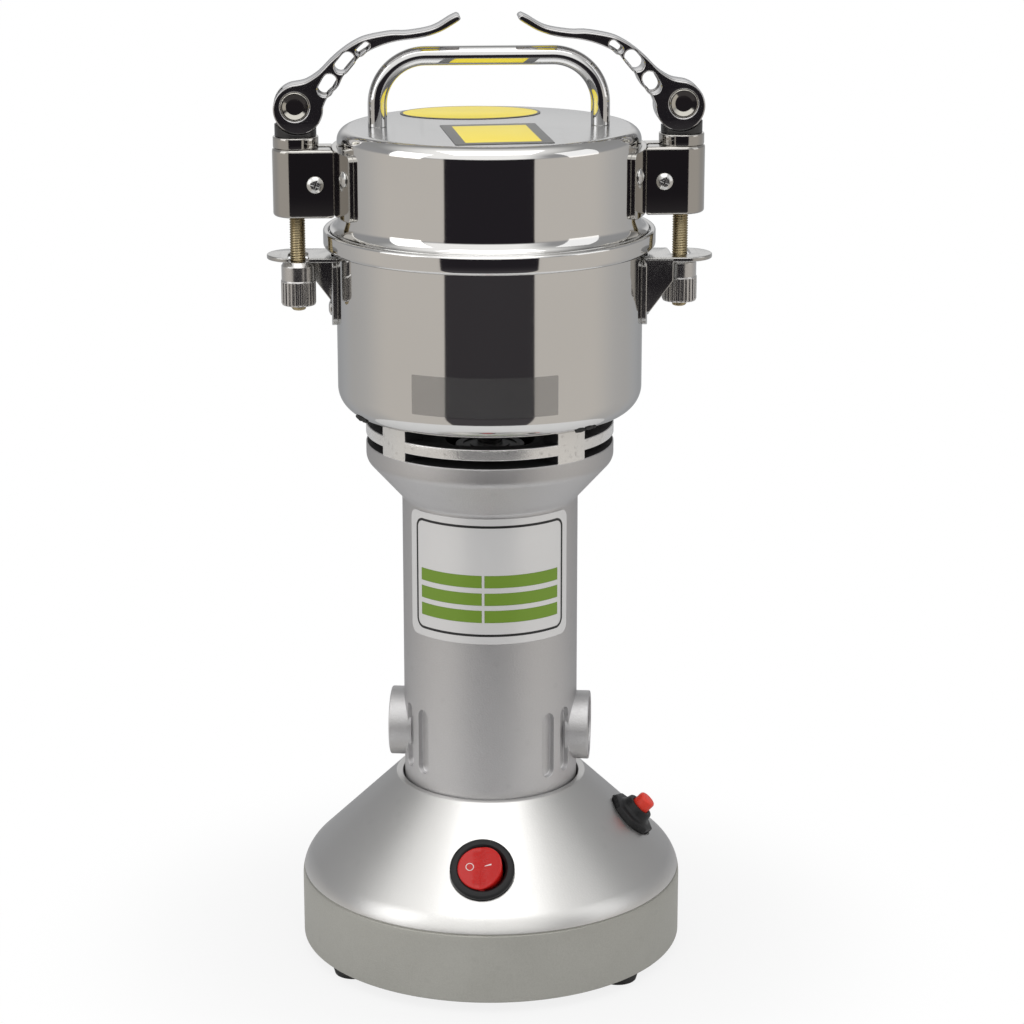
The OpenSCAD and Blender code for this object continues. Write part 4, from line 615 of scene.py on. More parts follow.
creaseReach = shoulderRadius + math.sqrt(base["shoulder"] ** 2 - creaseRise ** 2) - base["creaseDepth"]
onSlope = (base["topRadius"] + 1, base["topHeight"] - math.tan(slope))  # gives the top edge its direction
baseLine = (
    roundOff([(base["radius"] - base["wall"], base["low"]), (base["radius"], base["low"], base["footCorner"]),
              (base["radius"], base["wallTop"])])
    + arcPoints(shoulderRadius, base["wallTop"], base["shoulder"], 1, creaseTurn - creaseHalf, 5)
    + [(creaseReach, base["crease"] + side * base["creaseFloor"] / 2) for side in (-1, 1)]
    + arcPoints(shoulderRadius, base["wallTop"], base["shoulder"], creaseTurn + creaseHalf, 90 - base["slope"], 16)
    + roundOff([onSlope, (base["topRadius"], base["topHeight"], base["topCorner"]),
                (base["neck"], base["topHeight"], base["neckCorner"]), (base["neck"], base["ledgeTop"])], 4)[1:]
    + [(base["bore"], base["ledgeTop"]), (base["bore"], base["ledgeLow"]), (base["ledgeOut"], base["ledgeLow"]),
       (base["ledgeOut"], base["roof"]),
       (shoulderRadius + innerShoulder * math.sin(slope), base["wallTop"] + innerShoulder * math.cos(slope))]
    + arcPoints(shoulderRadius, base["wallTop"], innerShoulder, 40, 0, 6)
)


def onCone(angle, run):
    # a place on the cone, run millimetres down from its top edge, square to the surface
    return (turn(angle)
            @ shift(0, -base["topRadius"] - run * math.cos(slope), base["topHeight"] - run * math.sin(slope))
            @ turn(base["slope"], "X"))


atOpening = {
    "switch": onCone(base["turn"], base["switchRun"]), "breaker": onCone(base["breakerTurn"], base["breakerRun"]),
    "cord": turn(180 + base["turn"]) @ shift(0, -base["radius"], base["cordHeight"]) @ turn(90, "X"),
}
seatCuts = []
for opening, (seat, depth, hole) in base["openings"].items():
    for radius, low in ((seat, -depth), (hole, -base["cutIn"])):
        seatCuts.append(moved(drum(radius, low, base["cutOut"]), atOpening[opening]))


# outer wall faces below the crease take the darker copy of the cone's paint, painted shade
def baseFinish(centre, normal):
    return 1 if centre.z < base["crease"] and math.hypot(centre.x, centre.y) > base["wallFaces"] else 0


finishPiece("baseShell", carved(turnAround(baseLine, base["steps"]), *seatCuts), "body", "satinCone castWall",
            "base_shell", pick=baseFinish)

feet = {"reach": 54.5, "spread": 52.0,
        "line": [(4.0, 0), (6.0, 0, 0.5), (7.0, 3.5), (2.1, 3.5), (2.1, 2.2), (4.0, 2.2)]}
footShapes = [
    moved(turnAround(roundOff(feet["line"]), 64), turn(base["turn"] + angle) @ shift(0, -feet["reach"], 0))
    for angle in (-feet["spread"], feet["spread"], 180 - feet["spread"], 180 + feet["spread"])
]
finishPiece("rubberFeet", joined(*footShapes), "body", "rubberBlack", "rubber_feet")

cordBush = {"line": [(3.6, -5.2), (6.4, -5.2, 0.5), (6.4, -3.4, 0.3), (5.5, -3.4), (5.5, -1.85), (7.5, -1.85),
                     (7.5, -0.45, 0.6), (3.6, -0.45, 0.4)]}
finishPiece("cordBush", moved(turnAround(roundOff(cordBush["line"]), 72), atOpening["cord"]), "body",
            "rubberBlack", "cord_bush")
print("base made")

switch = {
    "bezel": [(7.5, -12.5), (8.9, -12.5), (8.9, -0.8), (10.3, -0.8), (10.3, 1.3, 0.5), (9.6, 1.75, 0.6),
              (8.2, 1.95, 0.3), (7.5, 1.2, 0.2)],
    "back": (8.9, -14.0, -12.5), "terminal": (0.8, 4.8, 7.5), "terminalX": 3.5, "terminalZ": -16.2,
    "rocker": 7.25, "pivot": -0.4, "tilt": -12.0, "face": 2.2, "faceSlope": 12.0, "edge": 0.35, "edgeShare": 0.07,
    "skirt": 5.8, "skirtLow": -4.4, "axle": 1.2, "axleHalf": 8.4, "rows": 240, "columns": 24,
    "ribHeight": 0.16, "ribPitch": 0.62, "ribbed": (2.3, 5.6),
}
faceRise = math.tan(math.radians(switch["faceSlope"]))
terminals = [blockShape(switch["terminal"], (x, 0, switch["terminalZ"]))
             for x in (-switch["terminalX"], switch["terminalX"])]
bezel = joined(turnAround(roundOff(switch["bezel"]), 128), drum(*switch["back"], 64), *terminals)
finishPiece("switchBezel", moved(bezel, atOpening["switch"]), "body", "bezelBlack", "switch_housing")


def rockerShape():
    # two faces meet in a shallow valley; fine ribs run across the middle
    bm = bmesh.new()
    radius, rows, columns = switch["rocker"], switch["rows"], switch["columns"]
    rings = []
    for i in range(rows + 1):
        y = -radius * math.cos(math.pi * i / rows)
        half = math.sqrt(max(radius ** 2 - y ** 2, 0.0))
        rib = switch["ribHeight"] * (0.5 + 0.5 * math.cos(fullTurn * y / switch["ribPitch"]))
        ring = []
        for k in range(columns + 1):
            x = -half * math.cos(math.pi * k / columns)
            inset = min(max((1 - math.hypot(x, y) / radius) / switch["edgeShare"], 0.0), 1.0)
            z = switch["face"] + abs(x) * faceRise
            z -= switch["edge"] * (1 - math.sqrt(max(1 - (1 - inset) ** 2, 0)))
            if abs(x) < switch["ribbed"][0] and abs(y) < switch["ribbed"][1]:
                z += rib
            ring.append(bm.verts.new((x * mm, y * mm, z * mm)))
        rings.append(ring)
    bridged(bm, rings, closed=False)
    bmesh.ops.remove_doubles(bm, verts=bm.verts, dist=1e-6)
    rim = bmesh.ops.extrude_edge_only(bm, edges=[e for e in bm.edges if e.is_boundary])
    for vert in [g for g in rim["geom"] if isinstance(g, bmesh.types.BMVert)]:
        out = math.hypot(vert.co.x, vert.co.y) or 1.0
        share = switch["skirt"] * mm / out
        vert.co = (vert.co.x * share, vert.co.y * share, switch["skirtLow"] * mm)
    bmesh.ops.holes_fill(bm, edges=[e for e in bm.edges if e.is_boundary])
    return sealed(bm)


onRocker = atOpening["switch"] @ shift(0, 0, switch["pivot"]) @ turn(switch["tilt"], "Y")
axle = moved(drum(switch["axle"], -switch["axleHalf"], switch["axleHalf"], 32), turn(90, "X"))
finishPiece("switchRocker", moved(joined(rockerShape(), axle), onRocker), "rocker", "rockerRed", "switch_rocker",
            sharp=40)

# the generic off ring and on dash, raised a little from the face
rockerMarks = {
    "rise": 0.02, "ring": 1.2, "line": 0.13, "ringPlace": (-3.35, 0.35), "dashPlace": (2.6, 0.55), "dashTurn": 6.0,
    "dashThick": 0.3, "dash": [(-1.2, -0.1, 0.08), (1.2, -0.22, 0.1), (1.2, 0.22, 0.1), (-1.2, 0.1, 0.08)],
}


def onFace(x, y):
    return (shift(x, y, switch["face"] + rockerMarks["rise"] + abs(x) * faceRise)
            @ turn(math.copysign(switch["faceSlope"], -x), "Y"))


ringMark = turnAround(arcPoints(rockerMarks["ring"], 0, rockerMarks["line"], 0, 330, 10), 48)
dashMark = flatPlate(roundOff(rockerMarks["dash"]), thick=rockerMarks["dashThick"], edge=0.05)
bothMarks = joined(moved(ringMark, onFace(*rockerMarks["ringPlace"])),
                   moved(dashMark, onFace(*rockerMarks["dashPlace"]) @ turn(rockerMarks["dashTurn"])))
finishPiece("switchMarks", moved(bothMarks, onRocker), "rocker", "whiteInk", None)

breaker = {
    "flange": 8.5, "flangeBand": 1.2, "grips": 8, "gripShare": 0.9,
    "nut": [(4.85, -0.8), (8.5, -0.8), (8.5, 1.6, 0.5), (6.0, 1.9, 0.6), (5.2, 2.7, 0.4), (4.7, 4.8, 0.5),
            (3.4, 4.8, 0.3), (3.2, 4.2), (3.2, 2.2), (4.85, 2.2)],
    "button": [(0, -6.0), (3.0, -6.0), (3.0, 7.6, 0.3), (2.7, 8.3, 0.6), (0, 8.3)],
}


def nutReach(k, angle, r):
    # the flange of the breaker nut has flats round its rim
    if r < breaker["flange"] - breaker["flangeBand"]:
        return r
    grip = fullTurn / breaker["grips"]
    flat = math.cos(grip / 2) / math.cos(angle % grip - grip / 2)
    return r * (breaker["gripShare"] * flat + 1 - breaker["gripShare"])


breakerNut = turnAround(roundOff(breaker["nut"], 4), 128, nutReach)
finishPiece("breakerNut", moved(breakerNut, atOpening["breaker"]), "body", "bezelBlack", "breaker_nut")
finishPiece("resetButton", moved(turnAround(roundOff(breaker["button"]), 72), atOpening["breaker"]), "reset",
            "buttonRed", "reset_button")
print("switch and breaker made")

housing = {
    "tube": 28.25, "turn": -7.5, "brushHeight": 75.165, "steps": 192,
    "line": [(25.05, 50.965), (28.25, 50.965), (28.25, 153.665, 3.0), (39.6, 166.2, 4.2), (39.6, 171.715, 0.35),
             (14.4, 171.715), (14.4, 162.7), (22.0, 162.7), (36.6, 166.715), (36.6, 166.0), (23.45, 152.8),
             (23.45, 137.4), (25.05, 137.4)],
    "ring": [(34.6, 174.315, 0.2), (39.6, 174.315, 0.3), (39.6, 177.915, 0.3), (34.6, 177.915, 0.2)],
    "post": {"width": 16.0, "low": 171.55, "high": 181.915, "corner": 0.3, "inner": 31.4, "outer": 39.6},
    "boss": [(8.25, 25.1), (11.2, 25.1), (11.2, 32.6, 0.45), (9.6, 32.6, 0.15), (9.6, 29.9), (8.25, 29.9)],
    "bore": (8.4, 12.0, 40.0), "boreTurn": 1.3,  # the small turn keeps the bore's edges off the tube's
    "slotWidth": 5.0, "slotHeight": 21.8, "slotFoot": 63.8, "slotDepth": 1.9, "slotCutter": 3.0,
    "slotTurns": (-44, -27, 27, 44),
    "brightFrom": 171.9, "brightReach": 39.45, "shadeFrom": 166.5, "shadeReach": 39.2,
}
inHousing = turn(housing["turn"])
brushPlaces = [inHousing @ turn(side) @ shift(0, 0, housing["brushHeight"]) @ turn(90, "X") for side in (90, 270)]
bores = [moved(drum(*housing["bore"]), place @ turn(housing["boreTurn"])) for place in brushPlaces]
posts = [bentPlate(**housing["post"], centre=housing["turn"] + 45 + 90 * k, steps=10) for k in range(4)]
ventRing = carved(turnAround(roundOff(housing["ring"], 3), housing["steps"]), *posts, how="UNION")
casting = carved(turnAround(roundOff(housing["line"], 6), housing["steps"]), *bores)
casting = carved(casting, ventRing, how="UNION")
slotLoop = longHole(housing["slotHeight"], housing["slotWidth"])
inSlot = (shift(0, -housing["tube"] + housing["slotDepth"] - housing["slotCutter"] / 2,
                housing["slotFoot"] + housing["slotHeight"] / 2) @ turn(90, "X") @ turn(90, "Z"))
for side in (90, 270):
    for angle in housing["slotTurns"]:
        slotCut = flatPlate(slotLoop, thick=housing["slotCutter"], edge=0.35, edgeSteps=3)
        casting = carved(casting, moved(slotCut, inHousing @ turn(side + angle) @ inSlot))
bosses = [moved(turnAround(roundOff(housing["boss"], 4), 96), place) for place in brushPlaces]


def housingFinish(centre, normal):
    # the ring and posts are machined bright; what lies behind them gets a near-black finish, painted shade
    out = math.hypot(centre.x, centre.y)
    if centre.z > housing["brightFrom"] and out > housing["brightReach"] and abs(normal.z) < 0.5:
        return 1
    return 2 if centre.z > housing["shadeFrom"] and out < housing["shadeReach"] else 0


finishPiece("motorHousing", joined(casting, *bosses), "body", "castTube machinedRing ventShade", "motor_housing",
            sharp=38, pick=housingFinish)

brushCap = {"line": [(0, 29.9), (9.5, 29.9), (9.5, 31.9, 0.35), (7.6, 31.9, 0.2), (7.2, 31.5, 0.2), (0, 31.5)],
            "notch": (14.2, 1.6, 1.4), "notchHeight": 31.6}
caps = [moved(carved(turnAround(roundOff(brushCap["line"], 3), 72),
                     blockShape(brushCap["notch"], (0, 0, brushCap["notchHeight"]))), place)
        for place in brushPlaces]
finishPiece("brushCaps", joined(*caps), "body", "bezelBlack", "brush_caps")

# the plain rating plate: foil, an inked outline and six green bars, with nothing written on it
plate = {
    "foil": {"width": 120.0, "low": 111.365, "high": 152.565, "corner": 3.0, "inner": 28.3, "outer": 28.5,
             "centre": -4.0, "steps": 48},
    "ink": (28.515, 28.54), "outline": 108.6, "outlineCentre": -3.4, "outlineLow": 113.9, "outlineHigh": 150.4,
    "line": 0.8, "corner": 3.2, "cornerSteps": 8, "longestSpan": 1.2,
    "barTops": (134.1, 128.3, 122.6), "barHeight": 4.05, "barCorner": 0.05,
    "barSpans": ((-52.5, -8.1), (-6.4, 45.7)),
}
finishPiece("ratingPlate", bentPlate(**plate["foil"]), "body", "plateFoil", "rating_plate")


def outlineLoop(halfWidth):
    # the outline unrolled, with its long sides cut up so that they can bend
    low, high, corner = plate["outlineLow"], plate["outlineHigh"], plate["corner"]
    loop = []
    for x, z, first in ((halfWidth - corner, high - corner, 0), (corner - halfWidth, high - corner, 90),
                        (corner - halfWidth, low + corner, 180), (halfWidth - corner, low + corner, 270)):
        loop += arcPoints(x, z, corner, first, first + 90, plate["cornerSteps"])
    full = []
    for here, there in zip(loop, loop[1:] + loop[:1]):
        pieces = max(1, int(abs(there[0] - here[0]) / plate["longestSpan"]))
        full += [(here[0] + (there[0] - here[0]) * k / pieces, here[1] + (there[1] - here[1]) * k / pieces)
                 for k in range(pieces)]
    return full


def inkOutline():
    bm = bmesh.new()
    outer = outlineLoop(math.radians(plate["outline"] / 2) * plate["foil"]["outer"])
    inner = []
    for i, (x, z) in enumerate(outer):
        along = (Vector(outer[(i + 1) % len(outer)]) - Vector(outer[i - 1])).normalized()
        inner.append((x - along.y * plate["line"], z + along.x * plate["line"]))
    under, over = plate["ink"]
    centre = math.radians(plate["outlineCentre"] - 90)
    loops = [[bm.verts.new(spot(reach, centre + x / reach, z)) for x, z in line]
             for line, reach in ((outer, under), (outer, over), (inner, over), (inner, under))]
    bridged(bm, loops + loops[:1])
    return sealed(bm)


finishPiece("plateOutline", inkOutline(), "body", "plateInk", None)
bars = [bentPlate(last - first, top - plate["barHeight"], top, plate["barCorner"], *plate["ink"],
                  (first + last) / 2, 20) for top in plate["barTops"] for first, last in plate["barSpans"]]
finishPiece("plateBars", joined(*bars), "body", "plateGreen", None)
print("motor housing made")

bowl = {
    "low": 181.915, "top": 239.015, "radius": 48.3, "sheet": 1.2, "corner": 8.0, "bore": 7.0, "blend": 2.2,
    "brim": 52.2, "beadHeight": 5.9, "beadRise": 1.3, "beadWidth": 1.8, "beadCorners": (0.1, 1.6, 0.75, 0.7),
    "screwHole": 2.1, "screwReach": 35.5, "steps": 288,
}
blendZ = bowl["top"] - bowl["sheet"] - bowl["blend"]
cornerReach, cornerZ = bowl["radius"] - bowl["corner"], bowl["low"] + bowl["corner"]
beadIn = bowl["brim"] - bowl["beadWidth"]
beadTop = bowl["top"] + bowl["beadRise"]
beadLow = beadTop - bowl["beadHeight"]
beadTips = [(beadIn, beadLow), (bowl["brim"], beadLow), (bowl["brim"], beadTop), (beadIn, beadTop)]
beadTips = [(*tip, corner) for tip, corner in zip(beadTips, bowl["beadCorners"])]
bowlLine = (
    [(bowl["bore"], bowl["low"] + bowl["sheet"]), (bowl["bore"], bowl["low"])]
    + arcPoints(cornerReach, cornerZ, bowl["corner"], -90, 0, 20)
    + arcPoints(bowl["radius"] + bowl["blend"], blendZ, bowl["blend"], 180, 97, 8)
    + [(beadIn, bowl["top"] - bowl["sheet"] - 0.05)]
    + roundOff([(beadIn, bowl["top"] - bowl["sheet"]), *beadTips, (beadIn, bowl["top"])], 8)[1:]
    + arcPoints(bowl["radius"] + bowl["blend"], blendZ, bowl["blend"] + bowl["sheet"], 90, 180, 10)[1:]
    + arcPoints(cornerReach, cornerZ, bowl["corner"] - bowl["sheet"], 0, -90, 16)
)
screwHoles = [moved(drum(bowl["screwHole"], bowl["low"] - 4, bowl["low"] + 4, 32),
                    inHousing @ turn(45 + 90 * k) @ shift(0, -bowl["screwReach"], 0)) for k in range(4)]
finishPiece("grindingBowl", carved(turnAround(bowlLine, bowl["steps"]), *screwHoles), "body", "mirrorSheet",
            "grinding_bowl", sharp=50)

# small black smears of sealant squeezed out under the bowl: turn, reach and size of each
sealant = {"sunk": 0.15, "lean": -35, "lumps": 0.16,
           "smears": ((-66, 45.2, (2.6, 1.2, 0.9)), (-63, 44.8, (1.6, 0.9, 0.8)), (36, 44.6, (2.2, 0.9, 0.7)),
                      (40, 45.0, (1.6, 0.8, 0.6)), (43, 44.9, (1.0, 0.7, 0.5)))}
smears = []
for around, reach, size in sealant["smears"]:
    blob = bmesh.new()
    bmesh.ops.create_icosphere(blob, subdivisions=3, radius=1)
    for vert in blob.verts:
        x, y, z = vert.co
        vert.co *= 1 + sealant["lumps"] * math.sin(5 * x + around) * math.cos(4 * y + 3 * z)
    surface = cornerZ - math.sqrt(bowl["corner"] ** 2 - (reach - cornerReach) ** 2)
    smears.append(moved(blob, turn(around) @ shift(0, -reach, surface - sealant["sunk"])
                        @ turn(sealant["lean"], "X") @ stretch(*size)))
finishPiece("sealantSmears", joined(*smears), "body", "rubberBlack", None)

film = {"width": 55.0, "low": 190.015, "high": 202.415, "corner": 0.4, "inner": 48.35, "outer": 48.47,
        "centre": -4.65}
finishPiece("bowlFilm", bentPlate(**film), "body", "clearFilm", "bowl_film")

tabs = {
    "width": 17.5, "end": 61.35, "roots": (48.4, 47.6), "low": 230.415, "thick": 1.4, "turn": -2.7,
    "slotReach": 60.2, "slot": 6.2, "slotStart": 0.2, "mouth": (1.36, 8.64),  # where the slot opens, from the end
    "flange": {"width": 20.8, "low": 210.015, "high": 231.815, "corner": 3.4, "inner": 48.35, "outer": 49.85,
               "centre": 90, "steps": 16},
    "web": [(48.6, 231.2), (48.6, 214.415), (50.1, 214.415, 0.8), (57.5, 224.415, 0.8), (57.5, 231.2)],
    "rivetReach": 48.35, "rivetGrip": 1.5, "rivetHeight": 214.515,
}


def tabShape():
    half, thick, slotHalf = tabs["width"] / 2, tabs["thick"], tabs["slot"] / 2
    inner, outer = tabs["slotReach"] - slotHalf, tabs["slotReach"] + slotHalf
    mouthX, mouthY = tabs["mouth"]
    start = math.radians(tabs["slotStart"])
    loop = [(tabs["roots"][0], -half), (tabs["end"], -half)]
    loop += arcPoints(tabs["end"], 0, half, -90, math.degrees(math.atan2(mouthY, mouthX)), 26)[1:-1]
    loop += arcPoints(0, 0, outer, math.degrees(math.asin(mouthY / outer)), tabs["slotStart"], 8)
    loop += arcPoints(tabs["slotReach"] * math.cos(start), tabs["slotReach"] * math.sin(start), slotHalf,
                      0, -180, 14)[1:-1]
    loop += arcPoints(0, 0, inner, tabs["slotStart"], math.degrees(math.asin(half / inner)), 8)
    loop += [(tabs["roots"][1], half)]
    top = moved(flatPlate(loop, thick=thick, edge=0.32, edgeSteps=3), shift(0, 0, tabs["low"] + thick / 2))
    web = flatPlate(roundOff(tabs["web"]), thick=thick, edge=0.3)
    web = moved(web, shift(0, thick / 2 - half, 0) @ turn(90, "X"))
    return moved(joined(top, bentPlate(**tabs["flange"]), web), turn(tabs["turn"]))


bothSides = (("Right", "right", 0), ("Left", "left", 180))  # piece name, node name and turn
for side, word, angle in bothSides:
    finishPiece("tab" + side, moved(tabShape(), turn(angle)), "body", "stampedSteel", "tab_" + word)

rivet = {"shank": 1.6, "head": ((2.6, 0, 0.15), (2.45, 0.45, 0.4), (1.3, 1.0, 1.0), (0, 1.0, 0))}


def rivetShape(start, grip):
    head = [(r, grip + rise, corner) for r, rise, corner in rivet["head"]]
    line = roundOff([(0, 0), (rivet["shank"], 0), (rivet["shank"], grip), *head], 4)
    return moved(turnAround(line, 40), shift(start, 0, 0) @ turn(90, "Y"))


tabRivets = [moved(rivetShape(tabs["rivetReach"], tabs["rivetGrip"]),
                   turn(angle + tabs["turn"]) @ shift(0, 0, tabs["rivetHeight"]))
             for side, word, angle in bothSides]
finishPiece("tabRivets", joined(*tabRivets), "body", "screwZinc", "tab_rivets")
print("bowl and tabs made")

lid = {"low": 239.315, "top": 272.015, "radius": 47.5, "sheet": 1.2, "edge": 4.0, "blend": 2.4, "rise": 4.0,
       "brim": 50.1, "brimCorner": 0.09, "topRing": 20.0, "flatFrom": 0.985, "steps": 288}
flareZ = lid["low"] + lid["sheet"] + lid["rise"]
flareX = lid["radius"] + lid["blend"]
edgeX, edgeZ = lid["radius"] - lid["edge"], lid["top"] - lid["edge"]


def flareLine(out, up, first, last):
    # a quarter of an oval, from the lid's wall out to its brim
    return [(flareX + x * out, flareZ + z * up) for x, z in arcPoints(0, 0, 1.0, first, last, 14)]


lidLine = (
    [(0, lid["top"] - lid["sheet"]), (edgeX, lid["top"] - lid["sheet"])]
    + arcPoints(edgeX, edgeZ, lid["edge"] - lid["sheet"], 88, 0, 10)
    + flareLine(lid["blend"] + lid["sheet"], lid["rise"] + lid["sheet"], 180, 270)[:-1]
    + roundOff([(flareX, lid["low"]), (lid["brim"], lid["low"], lid["brimCorner"]),
                (lid["brim"], lid["low"] + lid["sheet"], lid["brimCorner"]),
                (flareX, lid["low"] + lid["sheet"])])[1:-1]
    + flareLine(lid["blend"], lid["rise"], 270, 180)[1:]
    + arcPoints(edgeX, edgeZ, lid["edge"], 0, 90, 18)
    + [(lid["topRing"], lid["top"]), (0, lid["top"])]
)


def lidFinish(centre, normal):
    return 1 if normal.z > lid["flatFrom"] and centre.z > lid["top"] - 0.1 else 0


finishPiece("lidShell", turnAround(lidLine, lid["steps"]), "lid", "mirrorSheet lidTop", "lid_shell",
            sharp=50, pick=lidFinish)

stickers = {
    "ovalPlace": (-4.7, 28.3), "ovalSize": (45.0, 29.5), "ovalRim": 0.9, "ovalSteps": 96,
    "cardPlace": (1.3, -18.5), "cardSize": (30.0, 41.0), "cardTurn": 4.9, "cardRim": 3.4,
    "lift": 0.1, "edge": 0.03,
}
onLid = shift(0, 0, lid["top"] + stickers["lift"])


def stickerPair(ovalShrink, cardShrink, corner, thick):
    # the oval and the card, both drawn in by a rim
    steps = stickers["ovalSteps"]
    width, depth = [size / 2 - ovalShrink for size in stickers["ovalSize"]]
    oval = [(stickers["ovalPlace"][0] + width * math.cos(fullTurn * k / steps),
             stickers["ovalPlace"][1] + depth * math.sin(fullTurn * k / steps)) for k in range(steps)]
    wide, deep = [size / 2 - cardShrink for size in stickers["cardSize"]]
    card = roundOff([(x * wide, y * deep, corner) for x, y in ((-1, -1), (1, -1), (1, 1), (-1, 1))], 4)
    onCard = shift(*stickers["cardPlace"], 0) @ turn(stickers["cardTurn"])
    return joined(moved(flatPlate(oval, thick=thick, edge=stickers["edge"]), onLid),
                  moved(flatPlate(card, thick=thick, edge=stickers["edge"]), onLid @ onCard))


finishPiece("stickerBorders", stickerPair(0, 0, 0.6, 0.17), "lid", "stickerGrey", "lid_stickers")
finishPiece("stickerFaces", stickerPair(stickers["ovalRim"], stickers["cardRim"], 0.3, 0.2), "lid",
            "stickerYellow", None)

handle = {"radius": 3.0, "span": 69.4, "height": 24.8, "bend": 15.0, "foot": 0.05, "sides": 40}
spanHalf, bend = handle["span"] / 2, handle["bend"]
legTop = lid["top"] + handle["height"] - handle["radius"] - bend
footZ = lid["top"] + handle["foot"]
bends = (arcPoints(bend - spanHalf, legTop, bend, 180, 90, 24)
         + arcPoints(spanHalf - bend, legTop, bend, 90, 0, 24))
handlePath = [(x, 0, z) for x, z in [(-spanHalf, footZ), *bends, (spanHalf, footZ)]]
finishPiece("lidHandle", tubeAlong(handlePath, handle["radius"], handle["sides"]), "lid", "chromeRod",
            "lid_handle")
print("lid and handle made")

# the clamps: bracket, block, collar, cradle, lever, rod, pin and nut on each side
clamp = {
    "x": 60.2, "wallReach": 49.1, "blockLow": 244.515, "blockHigh": 265.915, "blockHalf": 7.4, "rodHole": 2.6,
    "tongueCut": (7.4, 3.1, 22.5), "tongueCutPlace": (50.4, 0, 258.0), "screwX": 54.3, "screwZ": 255.115,
    "bracket": {"width": 54.0, "low": 245.515, "high": 266.015, "corner": 2.0, "inner": 47.55, "outer": 49.05,
                "centre": 90, "steps": 36},
    "tongue": (9.7, 3.0, 13.0), "tonguePlace": (52.35, 0, 255.015),
    "rivetReach": 46.3, "rivetGrip": 2.75, "rivetHeight": 258.515, "rivetTurn": 22,
    "collar": [(2.8, 265.915), (7.1, 265.915, 0.3), (7.1, 269.415, 0.3), (2.8, 269.415)],
    "cradle": [(2.8, 269.435), (6.5, 269.435, 0.3), (6.5, 273.315, 0.25), (2.8, 273.315)],
    "hollow": 9.75, "hollowHalf": 13, "hollowGap": 0.05,
}


def bracketShape():
    return joined(bentPlate(**clamp["bracket"]), blockShape(clamp["tongue"], clamp["tonguePlace"]))


brackets = [moved(bracketShape(), turn(angle)) for side, word, angle in bothSides]
finishPiece("lidBrackets", joined(*brackets), "lid", "polishedBlock", "lid_brackets")
bracketRivets = [moved(rivetShape(clamp["rivetReach"], clamp["rivetGrip"]),
                       turn(angle + rivetTurn) @ shift(0, 0, clamp["rivetHeight"]))
                 for side, word, angle in bothSides for rivetTurn in (-clamp["rivetTurn"], clamp["rivetTurn"])]
finishPiece("bracketRivets", joined(*bracketRivets), "lid", "screwZinc", "bracket_rivets")


def clampBlock():
    half, reach = clamp["blockHalf"], clamp["wallReach"]
    rootTurn = math.degrees(math.asin(half / reach))
    loop = ([(math.sqrt(reach ** 2 - half ** 2), -half)] + arcPoints(clamp["x"], 0, half, -90, 90, 40)
            + arcPoints(0, 0, reach, rootTurn, -rootTurn, 10)[:-1])
    hole = arcPoints(clamp["x"], 0, clamp["rodHole"], 0, 350, 35)
    high = clamp["blockHigh"] - clamp["blockLow"]
    block = flatPlate(loop, [hole], thick=high, edge=1.0, edgeSteps=6)
    return carved(moved(block, shift(0, 0, clamp["blockLow"] + high / 2)),
                  blockShape(clamp["tongueCut"], clamp["tongueCutPlace"]))


for side, word, angle in bothSides:
    finishPiece("clampBlock" + side, moved(clampBlock(), turn(angle)), "lid", "polishedBlock",
                "clamp_block_" + word, sharp=28)

blockScrew = {"line": [(0, -1.2), (1.4575, -1.2, 1.0), (2.65, -0.42, 0.5), (2.65, 0, 0.1), (1.5, 0),
                       (1.5, 14.6, 0.3), (0, 14.6)],
              "cross": (3.0475, 0.62, 1.1), "crossPlace": (0, 0, -1.2), "crossTurns": (20, 110)}


def crossScrew():
    cross = [moved(blockShape(blockScrew["cross"], blockScrew["crossPlace"]), turn(angle))
             for angle in blockScrew["crossTurns"]]
    return carved(turnAround(roundOff(blockScrew["line"]), 48), *cross)


blockScrews = [moved(crossScrew(), shift(side * clamp["screwX"], -clamp["blockHalf"], clamp["screwZ"])
                     @ turn(-90, "X")) for side in (-1, 1)]
finishPiece("blockScrews", joined(*blockScrews), "lid", "screwZinc", "block_screws")

collars = [moved(turnAround(roundOff(clamp["collar"], 4), 96), shift(side * clamp["x"], 0, 0)) for side in (-1, 1)]
finishPiece("camCollars", joined(*collars), "lid", "polishedBlock", "cam_collars")

# the arm of the lever is drawn in shares of its reach and rise; its holes are x, z, tilt, length and width
lever = {
    "pivot": 279.0, "camRadius": 7.75, "camOffset": 1.3, "camAngle": 40.0, "width": 10.5, "reach": 51.7,
    "rise": 27.4, "head": (176, 446), "pinHole": 4.4528, "slotHalf": 2.8, "swing": 120, "slotReach": 15.5,
    "top": [(0.07, 0.28), (0.145, 0.37), (0.22, 0.51), (0.29, 0.62), (0.365, 0.71), (0.44, 0.765), (0.575, 0.81),
            (0.68, 0.815), (0.825, 0.865), (0.93, 0.975), (0.97, 1.01)],
    "low": [(0.985, 1.0), (0.99, 0.96), (0.94, 0.895), (0.865, 0.82), (0.755, 0.76), (0.615, 0.725), (0.51, 0.67),
            (0.415, 0.585), (0.37, 0.51), (0.295, 0.345), (0.26, 0.22), (0.2, 0.11)],
    "holes": ((0.195, 0.24, 60, 0.8, 0.51), (0.3, 0.49, 50, 0.7, 0.4), (0.41, 0.645, 42, 0.57, 0.32)),
}
camX = -lever["camOffset"] * math.cos(math.radians(lever["camAngle"]))
camZ = -lever["camOffset"] * math.sin(math.radians(lever["camAngle"]))


